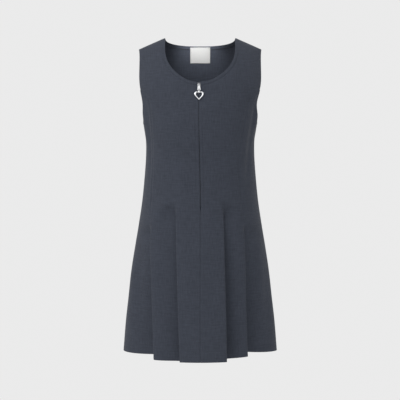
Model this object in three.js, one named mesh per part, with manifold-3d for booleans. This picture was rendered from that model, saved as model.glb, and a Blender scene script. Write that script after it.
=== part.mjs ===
// Child's sleeveless pinafore dress with a front zip and four knife pleats, hollow and filled out.
// Millimetres, +Z up. The front faces -Y and the wearer's left is +X. The origin is on the centre
// line halfway up the shoulder slope, where the shoulders carry the dress.
import * as THREE from 'three';
import { mergeVertices } from 'three/addons/utils/BufferGeometryUtils.js';
import Module from 'manifold-3d';

const CLOTH = 1.4;
const SEAM_GAP = 0.3;
const NECK_POINT_Z = 12;
const HEM = 670;

const NECK = { halfWidth: 75, frontDrop: 96, backDrop: 16.5, backSquareness: 2.4 };
const SHOULDER = { tipHalfWidth: 129.5, drop: 24, softening: 8 };
const ARMHOLE = { underarm: 180, frontScoop: 0.25, backScoop: 0.22, roundness: 0.8, seamMeets: 108 };
const FRONT = {
  column: 'front', sign: -1, shoulderRise: 110, scoop: ARMHOLE.frontScoop, neckShare: 0.84,
};
const BACK = {
  column: 'back', sign: 1, shoulderRise: 90, scoop: ARMHOLE.backScoop, neckShare: 0.56,
};

// The front neck edge, from the centre line to the neck point.
const NECK_EDGE = table(['across', 'below'], [
  [0, 96],
  [21.5, 92.3],
  [42.8, 80.5],
  [61.1, 62.8],
  [72.3, 38.3],
  [75, 0.9],
]);

// Horizontal sections of the dress, at heights measured down from the neck points.
const BODY = table(['below', 'halfWidth', 'front', 'back', 'squareness'], [
  [0, 128, 58, 62, 2.3],
  [24, 129.5, 66, 68, 2.3],
  [64, 134.6, 76, 80, 2.3],
  [90, 136, 82, 86, 2.3],
  [115, 132.8, 87, 89, 2.3],
  [141, 126, 92, 90, 2.3],
  [160, 122.6, 94, 89.5, 2.3],
  [180, 120.6, 95, 88, 2.3],
  [218, 115.2, 94, 83, 2.3],
  [248, 115, 91.5, 79, 2.3],
  [290, 117.8, 91.5, 82, 2.25],
  [347, 123.6, 94, 90, 2.2],
  [398, 131.4, 98, 97, 2.15],
  [449, 140, 103, 103, 2.1],
  [501, 147.9, 107, 107, 2.05],
  [552, 153.7, 111, 110, 2],
  [604, 159.8, 115, 113, 2],
  [670, 165.4, 119, 116, 2],
]);

// The two pleat fold lines of each front, as distances from the centre line. Above its pleat the
// outer line is the seam between the front and the side front.
const LEFT_LINES = table(['below', 'inner', 'outer'], [
  [128, 44, 103],
  [150, 44.5, 97],
  [186, 45.5, 89.5],
  [239, 46.5, 81],
  [282, 47, 80],
  [330, 47.5, 84.5],
  [389, 48.5, 91],
  [560, 53, 100.7],
  [670, 55.4, 106.7],
]);
const RIGHT_LINES = table(['below', 'inner', 'outer'], [
  [128, 52, 109],
  [150, 52, 104],
  [186, 52, 101],
  [239, 52, 99],
  [282, 52, 99.5],
  [330, 52, 101.5],
  [389, 51, 105.5],
  [560, 46.4, 102.5],
  [670, 42.3, 99.5],
]);

// Each pleat: where it opens, how far its hidden layer reaches under, how deep the next panel lies
// behind it at the hem, how deep its own edge lies there, and how much the hem rises beside it.
const PLEAT_COLUMNS = ['opens', 'overlap', 'step', 'sunk', 'riseBefore', 'riseAfter'];
const LEFT_PLEATS = table(PLEAT_COLUMNS, [
  [345, 22, 22, 0, -3, 0],
  [389, 22, 18, 12, 3, 11],
]);
const RIGHT_PLEATS = table(PLEAT_COLUMNS, [
  [345, 22, 14, 0, -3, -3.5],
  [389, 22, 27, 4, -2.5, 6],
]);
const FOLD = {
  bend: 1.9, lead: 2.4, curlLength: 44, softCurl: 0.5, growLength: 70, spring: 0.04, riseFrom: 450,
};

// How finely the walls are divided, and the small steps that find their normals.
const CELLS = { centrePanel: 6, fold: 8, halfFold: 4, sidePanel: 5, outerPanel: 6, back: 24 };
const SKIRT_ROWS = [670, 625, 580, 535, 492, 455, 433, 422, 411, 400, 389, 378, 367, 356, 345, 325,
  295, 262, 230, 200];
const SEAM_ROWS = [178, 155, 131];
const SEAM_TO_TIP_ROWS = 4;
const BACK_ROWS = { allBelow: 440, up: 10, underarm: 2 };
const CLIMB = 0.6;
const PROBE = { sectionSteps: 72, below: 0.5, turn: 0.002, edge: 0.004 };
const SEAM_HALF_TURN = 0.0016;
const SIDE_SEAM_TURN = 0.995;
const MITRE_LIMIT = 0.6;
const SPREAD = { none: 340, full: 235 };
const LEAN = table(['below', 'offset'], [
  [96, -2.4],
  [143, -3.4],
  [250, -1.2],
  [346, 0.6],
  [670, 0],
]);
const LEAN_REACH = 90;

const ZIP = { end: 352, halfGap: 1.4, topHalfGap: 4.1, topLength: 26, closeLength: 12 };
const TAPE = {
  fromCentre: 0.5, toCentre: 13.5, thickness: 1, behind: 0.45, pastEnd: 12, fromTop: 3, rows: 12,
};
const SLIDER = {
  below: 100.5, width: 6.4, tailWidth: 4.4, length: 8, thickness: 2.3, proud: 1.45, corner: 1,
};
const BRIDGE = { width: 1.1, wall: 0.8, rise: 2.1, halfLength: 2.2, sunk: 0.4, segments: 10 };
const TAB = {
  topWidth: 3.6, endWidth: 7, length: 14.1, thickness: 0.9, bar: 1, eyeWidth: 1.8, eyeLength: 3.5,
  slotWidth: 4.2, slotLength: 1.7, axisUp: 0.7, axisProud: 0.95, corner: 0.9, topCorner: 0.6,
};
const HEART = { width: 19.2, height: 18.4, ring: 3.4, thickness: 1.6, below: 2.7, middle: 7.6 };
const LOOP = { innerRadius: 1, wall: 0.8, width: 2.6, overlap: 0.6, segments: 16 };
const LABEL = { width: 43, height: 32, thickness: 1, below: 1, columns: 6, rows: 4 };

// Half of the heart, from its notch round one lobe to its point: the ends and the handles of three
// curves, as shares of the half width and of the height.
const HEART_HALF = table(['across', 'fallen'], [
  [0, 0.087],
  [0.13, 0.016],
  [0.33, 0],
  [0.5, 0],
  [0.82, 0],
  [1, 0.12],
  [1, 0.272],
  [1, 0.516],
  [0.36, 0.783],
  [0, 1],
]);

const COLOURS = {
  cloth: 0x42464f, tape: 0x3f4249, metal: 0xc9cbd0, label: 0xe6e6e4,
};

function table(columns, rows) {
  return rows.map((row) => Object.fromEntries(columns.map((column, index) => [column, row[index]])));
}

function mix(from, to, share) {
  return from + (to - from) * share;
}

function ease(share) {
  const held = THREE.MathUtils.clamp(share, 0, 1);
  return held * held * (3 - 2 * held);
}

// A smooth curve through one column of a table, read at a height.
function valueAt(rows, column, below) {
  const last = rows.length - 1;
  if (below <= rows[0].below) return rows[0][column];
  if (below >= rows[last].below) return rows[last][column];
  const upper = rows.findIndex((row) => row.below > below) - 1;
  const slopeAt = (index) => {
    const before = rows[Math.max(index - 1, 0)];
    const after = rows[Math.min(index + 1, last)];
    return (after[column] - before[column]) / (after.below - before.below);
  };
  const span = rows[upper + 1].below - rows[upper].below;
  const t = (below - rows[upper].below) / span;
  const start = rows[upper][column] * (2 * t ** 3 - 3 * t ** 2 + 1);
  const end = rows[upper + 1][column] * (3 * t ** 2 - 2 * t ** 3);
  const leaving = slopeAt(upper) * span * (t ** 3 - 2 * t ** 2 + t);
  const arriving = slopeAt(upper + 1) * span * (t ** 3 - t ** 2);
  return start + end + leaving + arriving;
}

// How far the shoulder line lies below the neck points, at a distance from the centre line.
function shoulderLine(x) {
  const slope = SHOULDER.drop / (SHOULDER.tipHalfWidth - NECK.halfWidth);
  const out = x - NECK.halfWidth;
  if (out >= SHOULDER.softening) return slope * out;
  if (out <= -SHOULDER.softening) return 0;
  return slope * (out + SHOULDER.softening) ** 2 / (4 * SHOULDER.softening);
}

const SHOULDER_NORMAL = new THREE.Vector3(
  SHOULDER.drop, 0, SHOULDER.tipHalfWidth - NECK.halfWidth,
).normalize();

function sectionPower(below) {
  return 2 / valueAt(BODY, 'squareness', below);
}

// The place round a section, 0 at the centre line and 1 at the side, of a distance from the centre.
function turnOf(x, below) {
  const share = THREE.MathUtils.clamp(x / valueAt(BODY, 'halfWidth', below), 0, 1);
  return Math.asin(share ** (1 / sectionPower(below))) / (Math.PI / 2);
}

// A point of the cloth's middle surface: rounded sections that close over the shoulder line.
function bodyPoint(turn, below, side) {
  const angle = THREE.MathUtils.clamp(turn, 0, 1) * Math.PI / 2;
  const power = sectionPower(below);
  const x = valueAt(BODY, 'halfWidth', below) * Math.sin(angle) ** power;
  const rise = THREE.MathUtils.clamp((below - shoulderLine(x)) / side.shoulderRise, 0, 1);
  const depth = valueAt(BODY, side.column, below) * Math.cos(angle) ** power
    * Math.sqrt(1 - (1 - rise) ** 2);
  return new THREE.Vector3(x, side.sign * depth, NECK_POINT_Z - below);
}

// The outward normal of the cloth and the direction round it, away from the centre line.
function bodyFrame(turn, below, side) {
  const nearby = THREE.MathUtils.clamp(turn, PROBE.edge, 1 - PROBE.edge);
  const difference = (turnStep, belowStep) => bodyPoint(nearby + turnStep, below + belowStep, side)
    .sub(bodyPoint(nearby - turnStep, below - belowStep, side));
  const down = difference(0, PROBE.below);
  const round = difference(PROBE.turn, 0);
  if (turn > 1 - PROBE.edge / 4) round.setX(0);
  if (turn < PROBE.edge / 4) round.setY(0);
  const outward = new THREE.Vector3().crossVectors(down, round).multiplyScalar(-side.sign);
  return { outward: outward.normalize(), round: round.normalize() };
}

// One horizontal section with its length measured from the centre line.
class SectionLine {
  constructor(below, side) {
    this.turns = [];
    this.lengths = [];
    let previous = bodyPoint(0, below, side);
    let length = 0;
    for (let step = 0; step <= PROBE.sectionSteps; step += 1) {
      const turn = step / PROBE.sectionSteps;
      const point = bodyPoint(turn, below, side);
      length += point.distanceTo(previous);
      this.lengths.push(length);
      this.turns.push(turn);
      previous = point;
    }
  }

  get whole() {
    return this.lengths.at(-1);
  }

  read(from, to, value) {
    let index = 1;
    while (index < from.length - 1 && from[index] < value) index += 1;
    const share = (value - from[index - 1]) / (from[index] - from[index - 1]);
    return mix(to[index - 1], to[index], share);
  }

  turnAt(length) {
    return this.read(this.lengths, this.turns, length);
  }

  lengthAt(turn) {
    return this.read(this.turns, this.lengths, turn);
  }
}

// Half of the open slit along the centre front: wide at the slider, narrow along the zip, and a
// plain seam below it.
function centreHalfGap(below) {
  const top = ease((below - NECK.frontDrop) / ZIP.topLength);
  const closing = ease((below - ZIP.end) / ZIP.closeLength);
  return mix(mix(ZIP.topHalfGap, ZIP.halfGap, top), SEAM_GAP / 2, closing);
}

// The state of a pleat at a height: the heading of its returning layer, the heading of its lower
// layer, the length of both and how far open it stands between its top and the hem.
function pleatAt(pleat, below) {
  const fallen = below - pleat.opens;
  const turned = THREE.MathUtils.clamp(fallen / FOLD.curlLength, 0, 1);
  const curl = mix(turned, ease(turned), FOLD.softCurl);
  const grown = ease((fallen - FOLD.curlLength) / FOLD.growLength);
  const run = THREE.MathUtils.clamp(
    (fallen - FOLD.curlLength) / (HEM - pleat.opens - FOLD.curlLength), 0, 1,
  );
  const reach = mix(FOLD.lead, pleat.overlap, grown);
  const spare = Math.max(pleat.step - 4 * FOLD.bend * Math.SQRT1_2, 0);
  const opening = Math.atan(spare * run / (2 * reach)) + FOLD.spring * curl;
  return {
    back: curl * (Math.PI - opening),
    tilt: curl * opening,
    layer: reach / Math.cos(opening),
    run: ease(fallen / (HEM - pleat.opens)),
  };
}

// The eight straight cells of a pleat, from its outer fold to the start of the next panel.
function foldCells(state) {
  const { back, tilt, layer } = state;
  const turn = back - tilt;
  return [
    { length: FOLD.bend, heading: back / 4 },
    { length: FOLD.bend, heading: back * 3 / 4 },
    { length: layer / 2, heading: back },
    { length: layer / 2, heading: back },
    { length: FOLD.bend, heading: back - turn / 4 },
    { length: FOLD.bend, heading: back - turn * 3 / 4 },
    { length: layer / 2, heading: tilt },
    { length: layer / 2, heading: tilt },
  ];
}

// The corners of a pleat in its section: distance along, depth behind the surface.
function foldCorners(pleat, foldLine, sunk, below) {
  const state = pleatAt(pleat, below);
  const cells = foldCells(state);
  const forward = cells.slice(0, CELLS.halfFold)
    .reduce((sum, cell) => sum + Math.max(0, cell.length * Math.cos(cell.heading)), 0);
  const corners = [{ along: foldLine - forward, sink: sunk * state.run }];
  for (const cell of cells) {
    const last = corners[corners.length - 1];
    corners.push({
      along: last.along + cell.length * Math.cos(cell.heading),
      sink: last.sink + cell.length * Math.sin(cell.heading),
    });
  }
  return corners;
}

function between(start, end, cells) {
  return Array.from({ length: cells - 1 }, (unused, index) => {
    const share = (index + 1) / cells;
    return {
      along: mix(start.along, end.along, share),
      sink: mix(start.sink, end.sink, ease(share)),
    };
  });
}

// Adds the rise of the hem to the first corners of a panel or fold with a number of cells.
function withRise(corners, cells, from, to) {
  return corners.slice(0, cells).map((corner, index) => (
    { ...corner, rise: mix(from, to, index / cells) }
  ));
}

// One row of the skirt front on one hand, from the centre to the side seam, as the corners of the
// front and of the side front.
function skirtRow(hand, below) {
  const line = new SectionLine(below, FRONT);
  const lengthOf = (x) => line.lengthAt(turnOf(x, below));
  const innerLine = lengthOf(valueAt(hand.lines, 'inner', below));
  const outerLine = lengthOf(valueAt(hand.lines, 'outer', below));
  const [innerPleat, outerPleat] = hand.pleats;
  const inner = foldCorners(innerPleat, innerLine, innerPleat.sunk, below);
  const outer = foldCorners(outerPleat, outerLine, outerPleat.sunk, below);
  const start = { along: centreHalfGap(below), sink: 0 };
  const side = { along: line.whole - SEAM_GAP / 2, sink: 0 };
  const centrePanel = [start, ...between(start, inner[0], CELLS.centrePanel)];
  const sidePanel = [inner.at(-1), ...between(inner.at(-1), outer[0], CELLS.sidePanel)];
  const outerPanel = [outer.at(-1), ...between(outer.at(-1), side, CELLS.outerPanel)];
  const row = withHeadings([
    ...withRise(centrePanel, CELLS.centrePanel, innerPleat.riseBefore, innerPleat.riseBefore),
    ...withRise(inner, CELLS.fold, innerPleat.riseBefore, innerPleat.riseAfter),
    ...withRise(sidePanel, CELLS.sidePanel, innerPleat.riseAfter, outerPleat.riseBefore),
    ...withRise(outer, CELLS.fold, outerPleat.riseBefore, outerPleat.riseAfter),
    ...withRise(outerPanel, CELLS.outerPanel, outerPleat.riseAfter, 0),
    { ...side, rise: 0 },
  ]);
  const seamAt = CELLS.centrePanel + CELLS.fold + CELLS.sidePanel + CELLS.halfFold;
  const front = [...row.slice(0, seamAt), partedAtSeam(row[seamAt], row[seamAt - 1])];
  const sideFront = [partedAtSeam(row[seamAt], row[seamAt + 1]), ...row.slice(seamAt + 1)];
  const spread = ease((SPREAD.none - below) / (SPREAD.none - SPREAD.full));
  return { line, front: spreadOut(front, spread), sideFront: spreadOut(sideFront, spread) };
}

// The heading of the wall at each corner, and how much it bends there.
function withHeadings(corners) {
  const headings = corners.slice(1).map((corner, index) => Math.atan2(
    corner.sink - corners[index].sink, corner.along - corners[index].along,
  ));
  return corners.map((corner, index) => {
    const before = headings[Math.max(index - 1, 0)];
    const after = headings[Math.min(index, headings.length - 1)];
    return { ...corner, heading: (before + after) / 2, bend: after - before };
  });
}

// A seam end drawn back by half of the gap, towards its own neighbour.
function partedAtSeam(end, neighbour) {
  const across = neighbour.along - end.along;
  const inward = neighbour.sink - end.sink;
  const share = SEAM_GAP / 2 / Math.hypot(across, inward) / Math.cos(end.bend / 2);
  return { ...end, along: end.along + across * share, sink: end.sink + inward * share };
}

function spreadOut(corners, share) {
  const first = corners[0].along;
  const last = corners.at(-1).along;
  return corners.map((corner, index) => ({
    ...corner,
    along: mix(corner.along, mix(first, last, index / (corners.length - 1)), share),
  }));
}

// Turns the corners of a row into places on the body.
function placeRow(corners, line, below) {
  const fall = (Math.max(0, below - FOLD.riseFrom) / (HEM - FOLD.riseFrom)) ** 2;
  return corners.map((corner) => ({
    turn: line.turnAt(corner.along),
    below: below - corner.rise * fall,
    sink: corner.sink,
    heading: corner.heading,
    bend: corner.bend,
  }));
}

const ARMHOLE_MIDDLE = (ARMHOLE.underarm + SHOULDER.drop) / 2;
const ARMHOLE_REACH = (ARMHOLE.underarm - SHOULDER.drop) / 2;

// The armhole edge, from the underarm at 0 to the shoulder tip at 1.
function armholePoint(share, side) {
  const angle = share * Math.PI;
  return {
    turn: 1 - side.scoop * Math.sin(angle) ** ARMHOLE.roundness,
    below: ARMHOLE_MIDDLE + ARMHOLE_REACH * Math.cos(angle),
  };
}

function armholeShareAt(below) {
  return Math.acos((below - ARMHOLE_MIDDLE) / ARMHOLE_REACH) / Math.PI;
}

// The neck edge and then the shoulder line, from the centre at 0 to the shoulder tip at 1.
function neckAndShoulder(share, side) {
  if (share < side.neckShare) {
    const neckEdge = side === FRONT ? frontNeckEdge : backNeckEdge;
    const edge = neckEdge(share / side.neckShare);
    return { turn: turnOf(edge.x, edge.y), below: edge.y };
  }
  const x = mix(NECK.halfWidth, SHOULDER.tipHalfWidth, (share - side.neckShare) / (1 - side.neckShare));
  return { turn: turnOf(x, shoulderLine(x)), below: shoulderLine(x), ridge: true };
}

const NECK_CURVE = new THREE.SplineCurve(
  NECK_EDGE.map((row) => new THREE.Vector2(row.across, row.below)),
);

function frontNeckEdge(share) {
  const start = ZIP.topHalfGap / NECK_CURVE.getLength();
  return NECK_CURVE.getPointAt(mix(start, 1, share));
}

function backNeckEdge(share) {
  const power = 2 / NECK.backSquareness;
  const angle = share * Math.PI / 2;
  const top = shoulderLine(NECK.halfWidth);
  return new THREE.Vector2(
    NECK.halfWidth * Math.sin(angle) ** power,
    top + (NECK.backDrop - top) * Math.max(0, Math.cos(angle)) ** power,
  );
}

function seamPlace(hand, below) {
  return { turn: turnOf(valueAt(hand.lines, 'outer', below), below), below };
}

// How a panel's grid is blended between its edges: what is blended, how fast the bends of the side
// edges fade as they go in, and how far the columns swell outwards. With these no grid folds over.
const BLENDS = {
  front: {
    read: (place) => bodyPoint(place.turn, place.below, FRONT).x, turn: turnOf,
    fade: 3, belowFade: 3, swell: 3,
  },
  sideFront: { read: (place) => place.turn, turn: (value) => value, fade: 1, belowFade: 1, swell: 0 },
  back: { read: (place) => place.turn, turn: (value) => value, fade: 8, belowFade: 1.5, swell: 0 },
};
const SWELL_POWER = 1.4;

// Rows between a level row and a curved top edge, blended from the four edges round them.
function blendedRows(bottom, leftEdge, rightEdge, top, way) {
  const cells = bottom.length - 1;
  const rows = leftEdge.length;
  return leftEdge.map((left, rowIndex) => {
    const v = climb((rowIndex + 1) / rows);
    const right = rightEdge[rowIndex];
    return bottom.map((lower, index) => {
      const u = index / cells;
      const blend = (read, fade) => {
        const bend = (edge, end) => read(edge) - mix(read(bottom[end]), read(top[end]), v);
        return mix(read(lower), read(top[index]), v)
          + (1 - u) ** fade * bend(left, 0) + u ** fade * bend(right, cells);
      };
      const below = blend((place) => place.below, way.belowFade);
      const swell = way.swell * Math.sin(Math.PI * v) * Math.sin(Math.PI * u ** SWELL_POWER);
      return {
        turn: way.turn(blend(way.read, way.fade) + swell, below),
        below,
        sink: 0,
        heading: 0,
        bend: 0,
        ridge: rowIndex === rows - 1 && Boolean(top[index].ridge),
      };
    });
  });
}

function spacedEvenly(count, edge) {
  return Array.from({ length: count }, (unused, index) => edge((index + 1) / count));
}

// Rows lie closer together towards the shoulders, where the cloth turns over.
function climb(share) {
  return mix(share, Math.sin(share * Math.PI / 2), CLIMB);
}

// Shifts the front sideways near the centre line, where the zip leans.
function leaned(point, below) {
  const reach = Math.max(0, 1 - Math.abs(point.x) / LEAN_REACH);
  return point.setX(point.x + valueAt(LEAN, 'offset', below) * ease(reach));
}

// Both faces of the wall at one place.
function wallAt(place, side, mirror, thickness = CLOTH, lift = 0) {
  const middle = bodyPoint(place.turn, place.below, side);
  const { outward, round } = bodyFrame(place.turn, place.below, side);
  if (place.ridge) {
    outward.copy(SHOULDER_NORMAL);
    middle.y = side.sign * SEAM_GAP / 2;
  }
  if (place.turn > SIDE_SEAM_TURN && !place.ridge && side === BACK) middle.y = SEAM_GAP / 2;
  middle.addScaledVector(outward, -(place.sink + lift));
  const across = outward.clone().multiplyScalar(Math.cos(place.heading))
    .addScaledVector(round, Math.sin(place.heading));
  const half = thickness / 2 / Math.max(Math.cos(place.bend / 2), MITRE_LIMIT);
  const faces = [half, -half].map((reach) => {
    const point = middle.clone().addScaledVector(across, reach);
    point.x *= mirror;
    return side === FRONT ? leaned(point, place.below) : point;
  });
  return { outer: faces[0], inner: faces[1] };
}

// A closed wall from rows of paired points, the outer face, the inner face and the four edges.
function wallGeometry(rows) {
  const height = rows.length;
  const width = rows[0].length;
  const positions = [];
  for (const face of ['outer', 'inner']) {
    for (const row of rows) {
      for (const pair of row) positions.push(...pair[face].toArray());
    }
  }
  const at = (face, row, column) => face * height * width + row * width + column;
  const indices = [];
  const quad = (a, b, c, d) => indices.push(a, b, c, a, c, d);
  for (let row = 0; row < height - 1; row += 1) {
    for (let column = 0; column < width - 1; column += 1) {
      const corners = (face) => [
        at(face, row, column), at(face, row, column + 1),
        at(face, row + 1, column + 1), at(face, row + 1, column),
      ];
      const points = [rows[row][column], rows[row][column + 1], rows[row + 1][column + 1],
        rows[row + 1][column]].map((pair) => pair.outer);
      const straight = points[0].distanceTo(points[2]) <= points[1].distanceTo(points[3]);
      const [a, b, c, d] = corners(0);
      const [e, f, g, h] = corners(1);
      if (straight) {
        quad(a, b, c, d);
        quad(e, h, g, f);
      } else {
        quad(b, c, d, a);
        quad(f, e, h, g);
      }
    }
  }
  for (let column = 0; column < width - 1; column += 1) {
    quad(at(0, 0, column + 1), at(0, 0, column), at(1, 0, column), at(1, 0, column + 1));
    const top = height - 1;
    quad(at(0, top, column), at(0, top, column + 1), at(1, top, column + 1), at(1, top, column));
  }
  for (let row = 0; row < height - 1; row += 1) {
    quad(at(0, row, 0), at(0, row + 1, 0), at(1, row + 1, 0), at(1, row, 0));
    const end = width - 1;
    quad(at(0, row + 1, end), at(0, row, end), at(1, row, end), at(1, row + 1, end));
  }
  const geometry = new THREE.BufferGeometry();
  geometry.setAttribute('position', new THREE.Float32BufferAttribute(positions, 3));
  geometry.setIndex(indices);
  return facingOut(geometry);
}

function facingOut(geometry) {
  const points = geometry.attributes.position;
  const index = geometry.index.array;
  const [a, b, c] = [new THREE.Vector3(), new THREE.Vector3(), new THREE.Vector3()];
  let volume = 0;
  for (let i = 0; i < index.length; i += 3) {
    a.fromBufferAttribute(points, index[i]);
    b.fromBufferAttribute(points, index[i + 1]);
    c.fromBufferAttribute(points, index[i + 2]);
    volume += a.dot(b.cross(c));
  }
  if (volume < 0) {
    for (let i = 0; i < index.length; i += 3) {
      [index[i + 1], index[i + 2]] = [index[i + 2], index[i + 1]];
    }
  }
  geometry.computeVertexNormals();
  return geometry;
}

function material(colour, roughness, metalness = 0) {
  return new THREE.MeshStandardMaterial({ color: colour, roughness, metalness });
}

function named(name, geometry, finish) {
  const mesh = new THREE.Mesh(geometry, finish);
  mesh.name = name;
  return mesh;
}

const HANDS = {
  left: { mirror: 1, lines: LEFT_LINES, pleats: LEFT_PLEATS },
  right: { mirror: -1, lines: RIGHT_LINES, pleats: RIGHT_PLEATS },
};

// The front and side front of one hand.
function frontPieces(handName) {
  const hand = HANDS[handName];
  const skirt = SKIRT_ROWS.map((below) => ({ below, ...skirtRow(hand, below) }));
  const placed = (piece) => skirt.map((row) => placeRow(row[piece], row.line, row.below));
  const front = placed('front');
  const sideFront = placed('sideFront');
  const level = SKIRT_ROWS.at(-1);
  const seamShare = armholeShareAt(ARMHOLE.seamMeets);
  const seamGap = (place, way) => ({ ...place, turn: place.turn + way * SEAM_HALF_TURN });
  const seam = SEAM_ROWS.map((below) => seamPlace(hand, below));
  const seamTop = armholePoint(seamShare, FRONT);
  const rowsUp = SEAM_ROWS.length + 1 + SEAM_TO_TIP_ROWS;

  const centre = spacedEvenly(rowsUp, (share) => {
    const below = mix(level, NECK.frontDrop, climb(share));
    return { turn: turnOf(centreHalfGap(below), below), below };
  });
  const tipEdge = spacedEvenly(SEAM_TO_TIP_ROWS, (share) => (
    armholePoint(mix(seamShare, 1, share), FRONT)
  ));
  const frontRight = [...seam.map((place) => seamGap(place, -1)), seamGap(seamTop, -1), ...tipEdge];
  const frontTop = front.at(-1).map((unused, index, row) => (
    neckAndShoulder(index / (row.length - 1), FRONT)
  ));
  centre[rowsUp - 1] = { ...frontTop[0] };
  const frontRows = [
    ...front,
    ...blendedRows(front.at(-1), centre, frontRight, frontTop, BLENDS.front),
  ];

  const sideCount = SEAM_ROWS.length + 1;
  const sideEdge = spacedEvenly(sideCount, (share) => ({
    turn: sideFront.at(-1).at(-1).turn, below: mix(level, ARMHOLE.underarm, share),
  }));
  const sideLeft = [...seam, seamTop].map((place) => seamGap(place, 1));
  const sideTop = sideFront.at(-1).map((unused, index, row) => {
    const share = index / (row.length - 1);
    const place = armholePoint(mix(seamShare, 0, share), FRONT);
    return { ...place, turn: Math.min(place.turn, sideFront.at(-1).at(-1).turn) };
  });
  sideTop[0] = sideLeft.at(-1);
  const sideRows = [
    ...sideFront,
    ...blendedRows(sideFront.at(-1), sideLeft, sideEdge, sideTop, BLENDS.sideFront),
  ];

  const cloth = () => material(COLOURS.cloth, 0.92);
  const toWall = (rows) => wallGeometry(
    rows.map((row) => row.map((place) => wallAt(place, FRONT, hand.mirror))),
  );
  return [
    named(`front_${handName}`, toWall(frontRows), cloth()),
    named(`side_front_${handName}`, toWall(sideRows), cloth()),
  ];
}

// The whole back, from side seam to side seam.
function backPiece() {
  const half = CELLS.back / 2;
  const levels = SKIRT_ROWS.filter((below, index) => below > BACK_ROWS.allBelow || index % 2 === 1);
  const level = levels.at(-1);
  const skirt = levels.map((below) => {
    const line = new SectionLine(below, BACK);
    return Array.from({ length: half + 1 }, (unused, index) => ({
      turn: line.turnAt(mix(0, line.whole, index / half)), below, sink: 0, heading: 0, bend: 0,
    }));
  });
  const centre = spacedEvenly(BACK_ROWS.up, (share) => (
    { turn: 0, below: mix(level, NECK.backDrop, climb(share)) }
  ));
  const side = spacedEvenly(BACK_ROWS.underarm, (share) => (
    { turn: 1, below: mix(level, ARMHOLE.underarm, share) }
  ));
  const armhole = spacedEvenly(BACK_ROWS.up - BACK_ROWS.underarm, (share) => armholePoint(share, BACK));
  const top = skirt.at(-1).map((unused, index) => neckAndShoulder(index / half, BACK));
  const rows = [
    ...skirt,
    ...blendedRows(skirt.at(-1), centre, [...side, ...armhole], top, BLENDS.back),
  ];
  const walls = rows.map((row) => {
    const leftHalf = row.map((place) => wallAt(place, BACK, 1));
    const rightHalf = row.slice(1).map((place) => wallAt(place, BACK, -1));
    return [...rightHalf.reverse(), ...leftHalf];
  });
  return named('back', wallGeometry(walls), material(COLOURS.cloth, 0.92));
}

// The woven tape of the zip behind one edge of the centre front.
function zipTape(handName) {
  const { mirror } = HANDS[handName];
  const depth = CLOTH / 2 + TAPE.behind + TAPE.thickness / 2;
  const columns = [TAPE.fromCentre, (TAPE.fromCentre + TAPE.toCentre) / 2, TAPE.toCentre];
  const rows = Array.from({ length: TAPE.rows + 1 }, (unused, index) => {
    const below = mix(ZIP.end + TAPE.pastEnd, NECK.frontDrop + TAPE.fromTop, index / TAPE.rows);
    return columns.map((x) => wallAt({
      turn: turnOf(x, below), below, sink: 0, heading: 0, bend: 0,
    }, FRONT, mirror, TAPE.thickness, depth));
  });
  return named(`zip_tape_${handName}`, wallGeometry(rows), material(COLOURS.tape, 0.85));
}

// The blank woven label inside the back neck.
function neckLabel() {
  const depth = CLOTH / 2 + SEAM_GAP + LABEL.thickness / 2;
  const rows = Array.from({ length: LABEL.rows + 1 }, (unused, rowIndex) => {
    const below = NECK.backDrop + LABEL.below + LABEL.height * (1 - rowIndex / LABEL.rows);
    return Array.from({ length: LABEL.columns + 1 }, (alsoUnused, index) => {
      const x = mix(-LABEL.width / 2, LABEL.width / 2, index / LABEL.columns);
      const mirror = x < 0 ? -1 : 1;
      return wallAt({
        turn: turnOf(Math.abs(x), below), below, sink: 0, heading: 0, bend: 0,
      }, BACK, mirror, LABEL.thickness, depth);
    });
  });
  return named('neck_label', wallGeometry(rows), material(COLOURS.label, 0.7));
}

const wasm = await Module();
wasm.setup();

function toSolid(geometry) {
  const bare = geometry.clone();
  bare.deleteAttribute('normal');
  bare.deleteAttribute('uv');
  const merged = mergeVertices(bare, 1e-4);
  return new wasm.Manifold(new wasm.Mesh({
    numProp: 3,
    vertProperties: new Float32Array(merged.attributes.position.array),
    triVerts: new Uint32Array(merged.index.array),
  }));
}

function joined(...geometries) {
  const whole = geometries.map(toSolid).reduce((sum, next) => sum.add(next));
  const mesh = whole.getMesh();
  const geometry = new THREE.BufferGeometry();
  geometry.setAttribute('position', new THREE.Float32BufferAttribute(mesh.vertProperties, 3));
  geometry.setIndex(Array.from(mesh.triVerts));
  geometry.computeVertexNormals();
  return geometry;
}

// A plate cut to an outline seen from the front, centred on its own thickness.
function plate(outline, thickness) {
  const geometry = new THREE.ExtrudeGeometry(outline, {
    depth: thickness, bevelEnabled: false, curveSegments: 6,
  });
  return geometry.rotateX(Math.PI / 2).translate(0, thickness / 2, 0);
}

// A strip of a profile seen from the side, centred on the middle of its width.
function strip(profile, width) {
  const geometry = new THREE.ExtrudeGeometry(profile, {
    depth: width, bevelEnabled: false,
  });
  return geometry.rotateY(Math.PI / 2).translate(-width / 2, 0, 0);
}

function rectangleHole(halfWidth, low, high) {
  return new THREE.Path([
    new THREE.Vector2(-halfWidth, low), new THREE.Vector2(halfWidth, low),
    new THREE.Vector2(halfWidth, high), new THREE.Vector2(-halfWidth, high),
  ]);
}

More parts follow.
